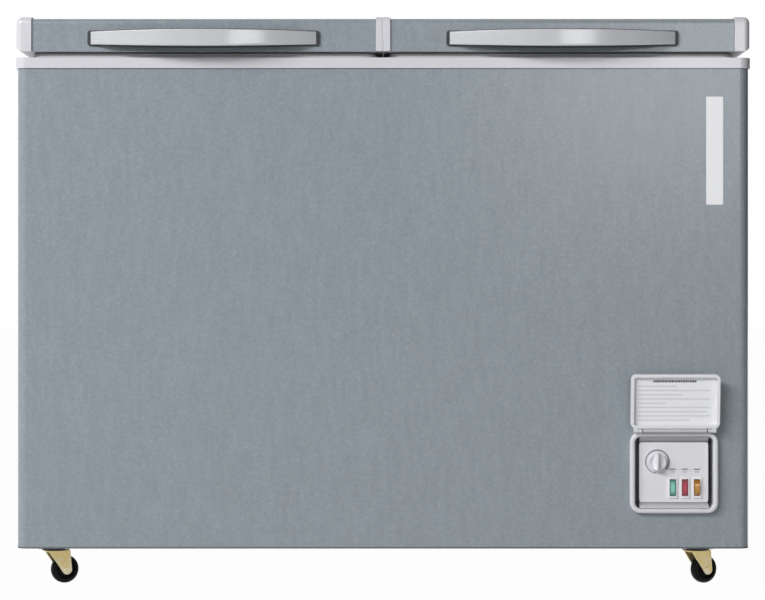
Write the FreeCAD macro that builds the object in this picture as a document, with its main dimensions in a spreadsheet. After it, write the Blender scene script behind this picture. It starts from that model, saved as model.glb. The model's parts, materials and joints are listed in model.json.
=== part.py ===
import FreeCAD, Part
import math
import os
import re
import Sketcher

# Chest freezer with two zones and two lids, on four casters.
# X runs to the right, Y to the back and Z up. The origin lies on the floor under the middle of the freezer.

# Driving sizes in millimetres and degrees: name, value, what it measures
SIZES = (
    ("body_width", 1085, "outer shell, side to side"),
    ("body_depth", 600, "outer shell, front to back"),
    ("shell_height", 710, "outer shell, visible height"),
    ("shell_tuck", 8, "shell edge hidden inside the collar"),
    ("corner_radius", 14, "front vertical corners of the shell"),
    ("sheet_thick", 0.8, "painted steel sheet"),
    ("pan_thick", 1.2, "base pan sheet"),
    ("collar_height", 15.5, "collar, visible height"),
    ("collar_overhang", 2.75, "collar beyond the shell, also its skirt thickness"),
    ("collar_wall", 3, "collar top plate"),
    ("collar_lip", 2.5, "collar skirt inside the liners, thickness"),
    ("collar_skirt", 24, "collar skirt inside the liners, depth"),
    ("liner_thick", 0.8, "zone liner sheet"),
    ("wall_thick", 60, "insulated wall, outside face to liner inside"),
    ("floor_thick", 62, "insulated floor, underside to liner inside"),
    ("divider_thick", 54, "insulated divider between the zones"),
    ("zone_radius", 30, "vertical corners inside a zone"),
    ("coil_gap", 9, "space for the evaporator tube behind a liner"),
    ("machine_width", 235, "machine compartment, from the right side inwards"),
    ("machine_height", 270, "machine compartment, from the underside up"),
    ("step_wall", 50, "insulation beside the machine compartment"),
    ("step_roof", 55, "insulation above the machine compartment"),
    ("coil_radius", 3.5, "evaporator tube, outside radius"),
    ("coil_pitch", 90, "evaporator turns, rise per turn"),
    ("coil_margin", 40, "evaporator turns, from the zone's floor and top"),
    ("condenser_radius", 2.5, "condenser tube, outside radius"),
    ("condenser_pitch", 70, "condenser runs, spacing"),
    ("condenser_bend", 30, "condenser bends, centreline radius"),
    ("condenser_margin", 45, "condenser runs, from the panel's edges"),
    ("seat_gap", 0.2, "clearance of a piece at its seat"),
    ("fit_gap", 0.05, "radial clearance of a pin in its hole"),
    ("lid_split", 1.5, "gap between the two lids"),
    ("lids_width", 1086, "both lids together, side to side"),
    ("lid_overhang", 2, "lid beyond the shell at front and back"),
    ("lid_gap", 9.3, "collar top to lid underside"),
    ("lid_thick", 48.7, "lid skin height"),
    ("lid_radius", 7, "front and back top edges of the lid skin"),
    ("cap_proud", 2.5, "end caps beyond the skin"),
    ("cap_outer", 23, "outer end cap width"),
    ("cap_inner", 10, "inner end cap width"),
    ("cap_round", 9, "outer cap, rounding of its end"),
    ("lid_liner_thick", 1.5, "lid liner sheet"),
    ("plug_depth", 12, "raised panel under the lid, depth"),
    ("plug_clear", 14, "raised panel to the collar opening"),
    ("gasket_width", 14, "gasket, across"),
    ("gasket_neck", 3, "gasket neck height under the lid"),
    ("gasket_side", 20, "gasket from the lid's outer end"),
    ("gasket_front", 10, "gasket from the lid's front and back"),
    ("gasket_middle", 6, "gasket from the lid's inner end"),
    ("gasket_rest", 0.3, "gasket above the collar"),
    ("grip_width", 334, "silver grip, side to side"),
    ("grip_bow", 36, "silver grip, how far it bows out"),
    ("grip_thick", 5, "silver grip, thickness"),
    ("grip_foot", 12.5, "silver grip, length of its foot on the backing"),
    ("grip_tall", 26, "silver grip, height in the middle"),
    ("grip_drop", 7, "silver grip, how far its lower edge bows down"),
    ("grip_top", 28.7, "silver grip's top edge above the lid underside"),
    ("core_thick", 4, "dark core behind the grip, thickness"),
    ("core_foot", 10, "dark core behind the grip, length of its foot"),
    ("core_lip", 1.3, "dark core beyond the grip, above and below"),
    ("backing_width", 343, "dark handle backing, side to side"),
    ("backing_thick", 3, "dark handle backing, thickness"),
    ("backing_low", 7.8, "dark handle backing, lower edge above the lid underside"),
    ("backing_tall", 22.6, "dark handle backing, height"),
    ("backing_radius", 4, "dark handle backing, corners"),
    ("pivot_back", 15, "lid pivot behind the back panel"),
    ("pivot_rise", 7, "lid pivot above the collar top"),
    ("hinge_inner", 110, "inner hinges, from the middle of the freezer"),
    ("hinge_outer", 430, "outer hinges, from the middle of the freezer"),
    ("hinge_width", 44, "hinge bracket, side to side"),
    ("hinge_sheet", 2, "hinge sheet"),
    ("hinge_play", 1.5, "leaf ears inside the bracket ears, gap"),
    ("hinge_drop", 90, "bracket's lower end under the pivot"),
    ("bracket_clear", 28, "bracket plate's upper end under the pivot"),
    ("knuckle_radius", 7, "bracket ear round the pivot"),
    ("leaf_rise", 44, "leaf's upper end above the pivot"),
    ("pin_radius", 3, "hinge pin"),
    ("pin_head", 1.5, "hinge pin head, height"),
    ("panel_x", 112.2, "control panel, middle in from the right side"),
    ("panel_z", 170.8, "control panel, middle above the floor"),
    ("bezel_width", 130.5, "bezel, outside width"),
    ("bezel_height", 120.5, "bezel, outside height"),
    ("bezel_radius", 16, "bezel, outside corners"),
    ("bezel_ring", 7.5, "bezel ring, across"),
    ("bezel_proud", 10, "bezel in front of the shell"),
    ("bezel_edge", 3, "bezel, rounding of its front edge"),
    ("recess_wall", 2, "recess box wall"),
    ("recess_depth", 45, "recess box, depth behind the shell face"),
    ("plate_width", 102, "control plate, width"),
    ("plate_height", 88.8, "control plate, height"),
    ("plate_thick", 3, "control plate, thickness"),
    ("plate_sink", 9, "control plate face behind the bezel face"),
    ("post_radius", 4, "posts under the control plate"),
    ("post_inset", 9, "posts from the control plate's edges"),
    ("dial_left", 24.8, "dial, left of the panel's middle"),
    ("dial_up", 15.8, "dial, above the panel's middle"),
    ("dial_radius", 18, "raised dial ring, outside radius"),
    ("dial_raise", 0.8, "raised dial ring, height"),
    ("knob_radius", 13, "thermostat knob"),
    ("knob_length", 10, "thermostat knob, length"),
    ("knob_ridge", 5, "finger ridge, width"),
    ("shaft_radius", 3, "thermostat shaft"),
    ("shaft_length", 9, "thermostat shaft in front of the plate"),
    ("thermostat_width", 30, "thermostat body, width and height"),
    ("thermostat_depth", 28, "thermostat body, depth"),
    ("lamp_pitch", 17.9, "lamps, spacing"),
    ("lamp_right", 16.4, "middle lamp, right of the panel's middle"),
    ("lamp_down", 22.5, "lamps, below the panel's middle"),
    ("lamp_width", 9.5, "lamp lens, width"),
    ("lamp_height", 25, "lamp lens, height"),
    ("frame_rim", 2, "lamp frame, rim width"),
    ("frame_height", 31, "lamp frame, height"),
    ("frame_proud", 2, "lamp frame in front of the plate"),
    ("lens_proud", 3, "lamp lens in front of the plate"),
    ("lens_gap", 0.4, "rocker to its frame"),
    ("rocker_pin", 0.75, "rocker trunnion radius"),
    ("cover_width", 131, "panel cover, width"),
    ("cover_start", 4, "panel cover, from its pivot"),
    ("cover_length", 80, "panel cover, length"),
    ("cover_deep", 8, "panel cover, tray depth"),
    ("cover_wall", 2, "panel cover, wall"),
    ("cover_rim", 4.5, "panel cover, rim width"),
    ("cover_radius", 8, "panel cover, corners"),
    ("cover_lean", 6, "panel cover at rest, leaning out from upright"),
    ("cover_rise", 2, "cover pivot above the bezel"),
    ("cover_play", 0.5, "closed cover to the bezel"),
    ("lug_radius", 3.2, "cover lugs and ears round the pivot"),
    ("lug_width", 6, "cover lugs, width"),
    ("lug_inset", 14, "cover lugs, from the cover's side"),
    ("stub_radius", 1.6, "cover stub pins"),
    ("compressor_radius", 68, "compressor dome, radius"),
    ("compressor_height", 165, "compressor dome, height"),
    ("dome_rise", 46, "compressor dome, height of its round crown"),
    ("compressor_setback", 160, "compressor axis from the back panel"),
    ("foot_thick", 3, "compressor foot strap"),
    ("foot_reach", 85, "compressor foot bolts from the axis, sideways"),
    ("foot_spread", 45, "compressor foot bolts from the axis, front and back"),
    ("foot_width", 30, "compressor foot strap, width"),
    ("grommet_radius", 11, "rubber grommet"),
    ("grommet_height", 14, "rubber grommet, height"),
    ("stud_radius", 4, "compressor stud"),
    ("stud_head", 5, "compressor stud nut, height"),
    ("boss_offset", 35, "compressor pipe stubs from the axis"),
    ("boss_radius", 6, "compressor pipe stubs"),
    ("boss_rise", 6, "compressor pipe stubs above the dome"),
    ("terminal_width", 62, "terminal cover, width and height"),
    ("terminal_depth", 26, "terminal cover, beyond the dome"),
    ("line_radius", 4, "refrigerant line, outside radius"),
    ("line_bend", 20, "refrigerant line bends"),
    ("drier_radius", 9, "filter drier"),
    ("drier_length", 100, "filter drier, length"),
    ("drier_offset", 26, "filter drier axis from the bulkhead"),
    ("drier_back", 90, "filter drier from the back panel"),
    ("drier_z", 180, "filter drier above the floor"),
    ("grille_long", 216, "side grille, front to back"),
    ("grille_tall", 166, "side grille, height"),
    ("grille_z", 195, "side grille, middle above the floor"),
    ("grille_setback", 200, "side grille, middle from the back panel"),
    ("grille_proud", 3, "side grille flange in front of the shell"),
    ("grille_margin", 8, "side grille flange, width"),
    ("slot_tall", 6, "louvre slots, height"),
    ("slot_pitch", 16, "louvre slots, spacing"),
    ("cover_margin", 6, "rear cover, from the compartment's edges"),
    ("rear_cover_thick", 1, "rear cover sheet"),
    ("rear_lap", 14, "rear cover over the edge of its opening"),
    ("screw_radius", 2, "sheet metal screw, shank"),
    ("screw_head", 4.2, "sheet metal screw, head radius"),
    ("screw_head_tall", 2.4, "sheet metal screw, head height"),
    ("screw_hole", 2.2, "screw clearance hole"),
    ("gland_bore", 4, "cord gland, bore radius"),
    ("gland_radius", 7, "cord gland, body radius"),
    ("gland_flange", 10, "cord gland, flange radius"),
    ("gland_length", 12, "cord gland, body length"),
    ("gland_inset", 34, "cord gland, from the bulkhead"),
    ("gland_z", 96, "cord gland, above the floor"),
    ("caster_height", 59, "floor to the cabinet's underside"),
    ("caster_left", 50.3, "left casters, swivel axis in from the left side"),
    ("caster_right", 72, "right casters, swivel axis in from the right side"),
    ("caster_inset", 52, "casters, swivel axis from the front and back"),
    ("caster_turn", 26.5, "casters at rest, trail direction from the right towards the back"),
    ("caster_trail", 14, "wheel axle from the swivel axis"),
    ("caster_plate", 52, "swivel plate, side"),
    ("caster_plate_thick", 3, "swivel plate, thickness"),
    ("race_radius", 20.5, "swivel race"),
    ("race_height", 5.5, "swivel race, height"),
    ("kingpin_radius", 4, "kingpin"),
    ("kingpin_head", 6.5, "kingpin head, radius"),
    ("kingpin_tall", 2, "kingpin head, height"),
    ("fork_radius", 16.5, "fork top disc"),
    ("fork_sheet", 2.4, "fork sheet"),
    ("fork_tip", 7.5, "fork leg round the axle"),
    ("wheel_radius", 21, "wheel"),
    ("wheel_width", 17, "wheel, across the tread"),
    ("wheel_round", 7, "wheel, rounding of the tread"),
    ("wheel_play", 0.8, "wheel hub to fork leg"),
    ("hub_radius", 8, "wheel hub"),
    ("hub_proud", 0.6, "wheel hub beyond the tread, each side"),
    ("axle_radius", 2.5, "wheel axle"),
    ("axle_head", 4.5, "axle rivet head, radius"),
    ("axle_head_tall", 1.5, "axle rivet head, height"),
    ("caster_bolt", 19.5, "caster screws from the swivel axis, each way"),
    ("caster_bolt_head", 3.5, "caster screw head, radius"),
)

# Places worked out from the sizes
HALF = "(body_width / 2)"
FRONT_REACH = "(lid_overhang + backing_thick + grip_bow)"
REAR_REACH = "(pivot_back + knuckle_radius)"
FRONT = f"(({FRONT_REACH} - {REAR_REACH} - body_depth) / 2)"
BACK = f"({FRONT} + body_depth)"
INNER_FRONT = f"({FRONT} + sheet_thick)"
INNER_BACK = f"({BACK} - sheet_thick)"
INNER_HALF = f"({HALF} - sheet_thick)"
PAN_TOP = "(caster_height + pan_thick)"
SHELL_TOP = "(caster_height + shell_height)"
COLLAR_TOP = f"({SHELL_TOP} + collar_height)"
FOAM_TOP = f"({COLLAR_TOP} - collar_wall)"
ZONE_OUT = f"({HALF} - wall_thick)"
ZONE_IN = "(divider_thick / 2)"
ZONE_FRONT = f"({FRONT} + wall_thick)"
ZONE_BACK = f"({BACK} - wall_thick)"
ZONE_FLOOR = "(caster_height + floor_thick)"
MACHINE_X = f"({HALF} - machine_width)"
MACHINE_TOP = "(caster_height + machine_height)"
STEP_X = f"({MACHINE_X} - step_wall)"
STEP_FLOOR = f"({MACHINE_TOP} + step_roof)"
LID_BOTTOM = f"({COLLAR_TOP} + lid_gap)"
LID_TOP = f"({LID_BOTTOM} + lid_thick)"
LID_FRONT = f"({FRONT} - lid_overhang)"
LID_BACK = f"({BACK} + lid_overhang)"
LID_OUT = "(lids_width / 2)"
LID_IN = "(lid_split / 2)"
SKIN_OUT = f"({LID_OUT} - cap_outer)"
SKIN_IN = f"({LID_IN} + cap_inner)"
GRIP_X = f"(({SKIN_OUT} + {SKIN_IN}) / 2)"
BACKING_FACE = f"({LID_FRONT} - backing_thick)"
PIVOT_Y = f"({BACK} + pivot_back)"
PIVOT_Z = f"({COLLAR_TOP} + pivot_rise)"
BEZEL_FACE = f"({FRONT} - bezel_proud)"
PLATE_FACE = f"({BEZEL_FACE} + plate_sink)"
PLATE_REAR = f"({PLATE_FACE} + plate_thick)"
PANEL_X = f"({HALF} - panel_x)"
DIAL_X = f"({PANEL_X} - dial_left)"
DIAL_Z = "(panel_z + dial_up)"
LAMP_X = f"({PANEL_X} + lamp_right)"
LAMP_Z = "(panel_z - lamp_down)"
COVER_Y = f"({BEZEL_FACE} - cover_play - cover_deep / 2)"
COVER_Z = "(panel_z + bezel_height / 2 + cover_rise)"
COMPRESSOR_X = f"({MACHINE_X} + machine_width / 2)"
COMPRESSOR_Y = f"({BACK} - compressor_setback)"
FOOT_BASE = f"({PAN_TOP} + grommet_height)"
FOOT_TOP = f"({FOOT_BASE} + foot_thick)"
DOME_TOP = f"({FOOT_TOP} + compressor_height)"
GRILLE_Y = f"({BACK} - grille_setback)"
REAR_LOW = "(caster_height + cover_margin)"
REAR_HIGH = f"({MACHINE_TOP} - cover_margin)"
REAR_LEFT = f"({MACHINE_X} + cover_margin)"
REAR_RIGHT = f"({HALF} - cover_margin)"
GLAND_X = f"({MACHINE_X} + gland_inset)"
RACE_LOW = "(caster_height - caster_plate_thick - race_height)"
FORK_TOP = f"({RACE_LOW} - seat_gap)"
FORK_LOW = f"({FORK_TOP} - fork_sheet)"
LEG_INSIDE = "(wheel_width / 2 + hub_proud + wheel_play)"
LEG_OUTSIDE = f"({LEG_INSIDE} + fork_sheet)"

SIDES = (("left", -1), ("right", 1))
PLANES = {"xy": "XY_Plane", "xz": "XZ_Plane", "yz": "YZ_Plane"}
TURNS = {
    "x": FreeCAD.Rotation(FreeCAD.Vector(0, 1, 0), 90),
    "y": FreeCAD.Rotation(FreeCAD.Vector(1, 0, 0), -90),
    "z": FreeCAD.Rotation(),
}

doc = FreeCAD.newDocument("chest_freezer")
sheet = doc.addObject("Spreadsheet::Sheet", "sizes")
for row, (size_name, size_value, size_note) in enumerate(SIZES, start=1):
    sheet.set(f"A{row}", size_note)
    sheet.set(f"B{row}", str(size_value))
    sheet.setAlias(f"B{row}", size_name)
doc.recompute()

SIZE_NAMES = {entry[0] for entry in SIZES}
WORD = re.compile(r"[a-z][a-z_]*")
pieces = []


def bound(formula):
    """The formula with each size name pointing at its cell."""
    return WORD.sub(lambda word: "sizes." + word[0] if word[0] in SIZE_NAMES else word[0], formula)


def number(formula):
    """What the formula comes to with the sizes as they are."""
    filled = WORD.sub(lambda word: f"({sheet.get(word[0])})" if word[0] in SIZE_NAMES else word[0], formula)
    return FreeCAD.Units.Quantity(filled).Value


def point(x, y, z):
    return FreeCAD.Vector(number(x), number(y), number(z))


def bind(thing, name, formula):
    thing.setExpression(name, bound(formula))


def bind_place(thing, x, y, z):
    for letter, formula in zip("xyz", (x, y, z)):
        bind(thing, f"Placement.Base.{letter}", formula)


def finish(thing, label):
    """Name a finished sub-part."""
    thing.Label = label
    pieces.append(thing)
    return thing


def new_body(name):
    return doc.addObject("PartDesign::Body", name)


def lesser(first, second):
    """The smaller of two formulas."""
    return f"(({first} + {second} - abs({first} - {second})) / 2)"


def mirrored(side, low, high):
    """A span along X on the right, or the same span mirrored to the left."""
    return (low, high) if side > 0 else (f"-({high})", f"-({low})")


def add_box(body, low, high, kind="Additive"):
    """A block between two corners, added to a body or cut from it."""
    block = body.newObject(f"PartDesign::{kind}Box", f"{body.Name}_block")
    for name, start, end in zip(("Length", "Width", "Height"), low, high):
        bind(block, name, f"({end}) - ({start})")
    bind_place(block, *low)
    return block


def cut_box(body, low, high):
    return add_box(body, low, high, "Subtractive")


def add_rod(body, radius, start, length, axis="z", kind="Additive"):
    """A round rod from a start point along an axis, added to a body or cut from it."""
    rod = body.newObject(f"PartDesign::{kind}Cylinder", f"{body.Name}_rod")
    rod.Placement = FreeCAD.Placement(FreeCAD.Vector(), TURNS[axis])
    bind(rod, "Radius", radius)
    bind(rod, "Height", length)
    bind_place(rod, *start)
    return rod


def cut_rod(body, radius, start, length, axis="z"):
    return add_rod(body, radius, start, length, axis, "Subtractive")


def draw_outline(drawing, outline):
    """A closed outline of corners (x, y), or (x, y, radius, turn) where an arc leads to the next corner.

    The arc is the shorter one, and turn is 1 for an arc that turns left and -1 for one that turns right.
    """
    corners = [FreeCAD.Vector(number(corner[0]), number(corner[1]), 0) for corner in outline]
    first = drawing.GeometryCount
    ends = []
    for index, corner in enumerate(outline):
        start = corners[index]
        end = corners[(index + 1) % len(outline)]
        if len(corner) == 2:
            drawing.addGeometry(Part.LineSegment(start, end))
            ends.append((1, 2))
            continue
        radius, turn = number(corner[2]), corner[3]
        along = end - start
        leftward = FreeCAD.Vector(-along.y, along.x, 0).normalize()
        height = math.sqrt(max(radius ** 2 - (along.Length / 2) ** 2, 0))
        centre = (start + end) / 2 + leftward * height * turn
        angles = [math.atan2(tip.y - centre.y, tip.x - centre.x) for tip in (start, end)][::turn]
        drawing.addGeometry(Part.ArcOfCircle(Part.Circle(centre, FreeCAD.Vector(0, 0, 1), radius), *angles))
        ends.append((1, 2)[::turn])
    for index, corner in enumerate(outline):
        following = (index + 1) % len(outline)
        drawing.addConstraint(Sketcher.Constraint(
            "Coincident", first + index, ends[index][1], first + following, ends[following][0]))
    for index, corner in enumerate(outline):
        for kind, formula in zip(("DistanceX", "DistanceY"), corner):
            made = drawing.addConstraint(
                Sketcher.Constraint(kind, first + index, ends[index][0], number(formula)))
            bind(drawing, f"Constraints[{made}]", formula)
        if len(corner) > 2:
            made = drawing.addConstraint(Sketcher.Constraint("Radius", first + index, number(corner[2])))
            bind(drawing, f"Constraints[{made}]", corner[2])


def draw_circle(drawing, x, y, radius):
    made = drawing.addGeometry(
        Part.Circle(FreeCAD.Vector(number(x), number(y), 0), FreeCAD.Vector(0, 0, 1), number(radius)))
    for kind, formula in (("DistanceX", x), ("DistanceY", y)):
        held = drawing.addConstraint(Sketcher.Constraint(kind, made, 3, number(formula)))
        bind(drawing, f"Constraints[{held}]", formula)
    held = drawing.addConstraint(Sketcher.Constraint("Radius", made, number(radius)))
    bind(drawing, f"Constraints[{held}]", radius)


def add_sketch(body, plane, offset, loops):
    """A sketch on one of the body's own planes, with loops that are outlines or circles (x, y, radius)."""
    drawing = body.newObject("Sketcher::SketchObject", f"{body.Name}_sketch")
    support = [item for item in body.Origin.OriginFeatures if item.Role == PLANES[plane]]
    drawing.AttachmentSupport = [(support[0], "")]
    drawing.MapMode = "FlatFace"
    bind(drawing, "AttachmentOffset.Base.z", offset)
    for loop in loops:
        if isinstance(loop, tuple):
            draw_circle(drawing, *loop)
        else:
            draw_outline(drawing, loop)
    return drawing


def add_pad(body, plane, low, high, *loops, kind="Pad"):
    """An outline drawn on a plane and carried from low to high across it."""
    offset = f"-({high})" if plane == "xz" else low
    feature = body.newObject(f"PartDesign::{kind}", f"{body.Name}_{kind.lower()}")
    feature.Profile = add_sketch(body, plane, offset, loops)
    feature.Reversed = kind == "Pocket"
    bind(feature, "Length", f"({high}) - ({low})")
    return feature


def cut_pad(body, plane, low, high, *loops):
    return add_pad(body, plane, low, high, *loops, kind="Pocket")


def prism(name, plane, low, high, *loops):
    body = new_body(name)
    add_pad(body, plane, low, high, *loops)
    return body


def add_turned(body, outline):
    """An outline of (radius, height) corners turned round the body's own Z axis."""
    feature = body.newObject("PartDesign::Revolution", f"{body.Name}_turned")
    drawing = add_sketch(body, "xz", "0", [outline])
    feature.Profile = drawing
    feature.ReferenceAxis = (drawing, ["V_Axis"])
    feature.Angle = 360
    return feature


def soften(body, radius, chosen):
    """Round the edges of a body that the test picks."""
    doc.recompute()
    base = body.Tip
    edges = [f"Edge{index}" for index, edge in enumerate(base.Shape.Edges, start=1) if chosen(edge)]
    rounding = body.newObject("PartDesign::Fillet", f"{body.Name}_round")
    rounding.Base = (base, edges)
    bind(rounding, "Radius", radius)


def at_x(formula):
    """A test for edges that lie in one plane across X."""
    return lambda edge: max(abs(edge.BoundBox.XMin - number(formula)),
                            abs(edge.BoundBox.XMax - number(formula))) < 0.01


def at_y(formula):
    """A test for edges that lie in one plane across Y."""
    return lambda edge: max(abs(edge.BoundBox.YMin - number(formula)),
                            abs(edge.BoundBox.YMax - number(formula))) < 0.01


def rectangle(low_x, low_y, high_x, high_y):
    return [(low_x, low_y), (high_x, low_y), (high_x, high_y), (low_x, high_y)]


def rounded(low_x, low_y, high_x, high_y, radius):
    """A rectangle with four round corners."""
    return [
        (f"{low_x} + {radius}", low_y),
        (f"{high_x} - {radius}", low_y, radius, 1),
        (high_x, f"{low_y} + {radius}"),
        (high_x, f"{high_y} - {radius}", radius, 1),
        (f"{high_x} - {radius}", high_y),
        (f"{low_x} + {radius}", high_y, radius, 1),
        (low_x, f"{high_y} - {radius}"),
        (low_x, f"{low_y} + {radius}", radius, 1),
    ]


def about(x, z, width, height, radius):
    """A rounded rectangle round a middle point."""
    return rounded(f"({x} - ({width}) / 2)", f"({z} - ({height}) / 2)",
                   f"({x} + ({width}) / 2)", f"({z} + ({height}) / 2)", radius)


def front_rounded(half, front, back, radius):
    """A plan outline whose two front corners are round."""
    return [
        (f"-{half}", back),
        (f"-{half}", f"{front} + {radius}", radius, 1),
        (f"-{half} + {radius}", front),
        (f"{half} - {radius}", front, radius, 1),
        (half, f"{front} + {radius}"),
        (half, back),
    ]


def top_rounded(front, back, low, high, radius):
    """A side outline whose two upper corners are round."""
    return [
        (front, low),
        (back, low),
        (back, f"{high} - {radius}", radius, 1),
        (f"{back} - {radius}", high),
        (f"{front} + {radius}", high, radius, 1),
        (front, f"{high} - {radius}"),
    ]


def group(label, members):
    """Like pieces kept together as separate solids."""
    together = doc.addObject("Part::Compound", label)
    together.Links = members
    return finish(together, label)


def bent_tube(name, corners, bend, radius):
    """A round tube along straight runs, with a tangent arc at each inner corner."""
    edges = []
    reached = corners[0]
    for before, corner, after in zip(corners, corners[1:], corners[2:]):
        arriving = (corner - before).normalize()
        leaving = (after - corner).normalize()
        half_turn = arriving.getAngle(leaving) / 2
        setback = bend * math.tan(half_turn)
        start = corner - arriving * setback
        end = corner + leaving * setback
        inward = (leaving - arriving).normalize()
        middle = corner + inward * (bend / math.cos(half_turn) - bend)
        edges.append(Part.LineSegment(reached, start).toShape())
        edges.append(Part.Arc(start, middle, end).toShape())
        reached = end
    edges.append(Part.LineSegment(reached, corners[-1]).toShape())
    path = Part.Wire(edges)
    circle = Part.Circle(corners[0], corners[1] - corners[0], radius)
    shape = path.makePipeShell([Part.Wire(circle.toShape())], True, False)
    expected = math.pi * radius ** 2 * path.Length
    if abs(shape.Volume - expected) > 0.01 * expected:
        raise RuntimeError(f"{name}: the tube's volume is {shape.Volume:.0f}, not {expected:.0f}")
    tube = doc.addObject("Part::Feature", name)
    tube.Shape = shape
    return tube


# Cabinet sheets and insulation

def make_outer_shell():
    """One painted sheet round the front and both sides, open for the control recess and the side grille."""
    inside = "(corner_radius - sheet_thick)"
    outline = front_rounded(HALF, FRONT, BACK, "corner_radius")
    outline += [
        (INNER_HALF, BACK),
        (INNER_HALF, f"{FRONT} + corner_radius", inside, -1),
        (f"{HALF} - corner_radius", INNER_FRONT),
        (f"-{HALF} + corner_radius", INNER_FRONT, inside, -1),
        (f"-{INNER_HALF}", f"{FRONT} + corner_radius"),
        (f"-{INNER_HALF}", BACK),
    ]
    body = prism("outer_shell", "xy", "caster_height", f"{SHELL_TOP} + shell_tuck", outline)
    cut_pad(body, "xz", f"{FRONT} - 1", f"{INNER_FRONT} + 1",
            about(PANEL_X, "panel_z", f"{RECESS_WIDTH} + 2 * seat_gap", f"{RECESS_HEIGHT} + 2 * seat_gap",
                  "(bezel_radius - bezel_ring + recess_wall)"))
    cut_pad(body, "yz", f"{INNER_HALF} - 1", f"{HALF} + 1", grille_opening("0"))
    return finish(body, "outer_shell")


RECESS_WIDTH = "(bezel_width - 2 * bezel_ring + 2 * recess_wall)"
RECESS_HEIGHT = "(bezel_height - 2 * bezel_ring + 2 * recess_wall)"


def grille_opening(inset):
    """The side grille's opening in the shell, or a smaller rectangle inside it."""
    half_long = f"(grille_long / 2 - grille_margin - {inset})"
    half_tall = f"(grille_tall / 2 - grille_margin - {inset})"
    return rectangle(f"{GRILLE_Y} - {half_long}", f"grille_z - {half_tall}",
                     f"{GRILLE_Y} + {half_long}", f"grille_z + {half_tall}")


def make_back_panel():
    """The flat sheet between the side sheets, open behind the machine compartment."""
    opening = rectangle(f"{REAR_LEFT} + rear_lap", f"{REAR_LOW} + rear_lap",
                        f"{REAR_RIGHT} - rear_lap", f"{REAR_HIGH} - rear_lap")
    holes = [(x, z, "screw_hole") for x, z in hinge_screw_places() + cover_screw_places()]
    outline = rectangle(f"-{INNER_HALF}", "caster_height", INNER_HALF, f"{SHELL_TOP} + shell_tuck")
    body = prism("back_panel", "xz", INNER_BACK, BACK, outline, opening, *holes)
    return finish(body, "back_panel")


def make_base_pan():
    outline = front_rounded(INNER_HALF, INNER_FRONT, INNER_BACK, "(corner_radius - sheet_thick)")
    holes = [(x, y, "screw_hole") for x, y in caster_screw_places()]
    return finish(prism("base_pan", "xy", "caster_height", PAN_TOP, outline, *holes), "base_pan")


def make_bulkhead():
    """The folded sheet that parts the machine compartment from the insulation."""
    outline = [
        (f"{MACHINE_X} - sheet_thick", PAN_TOP),
        (MACHINE_X, PAN_TOP),
        (MACHINE_X, MACHINE_TOP),
        (INNER_HALF, MACHINE_TOP),
        (INNER_HALF, f"{MACHINE_TOP} + sheet_thick"),
        (f"{MACHINE_X} - sheet_thick", f"{MACHINE_TOP} + sheet_thick"),
    ]
    body = prism("compartment_bulkhead", "xz", INNER_FRONT, INNER_BACK, outline)
    at_side, at_front = at_x(INNER_HALF), at_y(INNER_FRONT)
    soften(body, "corner_radius - sheet_thick", lambda edge: at_side(edge) and at_front(edge))
    return finish(body, "compartment_bulkhead")


def zone_outline(low_x, high_x, grow):
    """The plan outline of a zone's inside, grown by a distance on every side."""
    return rounded(f"({low_x} - {grow})", f"({ZONE_FRONT} - {grow})",
                   f"({high_x} + {grow})", f"({ZONE_BACK} + {grow})", f"(zone_radius + {grow})")


LEFT_ZONE = (f"-{ZONE_OUT}", f"-{ZONE_IN}")
RIGHT_ZONE = (ZONE_IN, ZONE_OUT)
DEEP_ZONE = (ZONE_IN, STEP_X)
COIL_SPACE = "(liner_thick + coil_gap)"


def make_foam():
    """Insulation between the sheets and the liners, with room for the tubes."""
    body = prism("cabinet_foam", "xy", PAN_TOP, FOAM_TOP,
                 front_rounded(INNER_HALF, INNER_FRONT, INNER_BACK, "(corner_radius - sheet_thick)"))
    above = f"({FOAM_TOP} + 1)"
    cut_pad(body, "xy", f"{ZONE_FLOOR} - liner_thick", above, zone_outline(*LEFT_ZONE, COIL_SPACE))
    cut_pad(body, "xy", f"{STEP_FLOOR} - liner_thick", above, zone_outline(*RIGHT_ZONE, COIL_SPACE))
    cut_pad(body, "xy", f"{ZONE_FLOOR} - liner_thick", above, zone_outline(*DEEP_ZONE, "liner_thick"))
    cut_box(body, (f"{MACHINE_X} - sheet_thick", f"{FRONT} - 1", "caster_height"),
            (f"{HALF} + 1", f"{BACK} + 1", f"{MACHINE_TOP} + sheet_thick"))
    low, high = CONDENSER_CORNERS
    pocket = "(condenser_margin / 2)"
    cut_box(body, (f"{low[0]} - {pocket}", f"{INNER_BACK} - 2 * condenser_radius - 2 * seat_gap",
                   f"{low[1]} - {pocket}"),
            (f"{MACHINE_X} - sheet_thick", f"{BACK} + 1", f"{high[1]} + {pocket}"))
    return finish(body, "cabinet_foam")


def make_left_liner():
    body = prism("left_liner", "xy", f"{ZONE_FLOOR} - liner_thick", FOAM_TOP,
                 zone_outline(*LEFT_ZONE, "liner_thick"))
    cut_pad(body, "xy", ZONE_FLOOR, f"{FOAM_TOP} + 1", zone_outline(*LEFT_ZONE, "0"))
    return finish(body, "left_liner")


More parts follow.
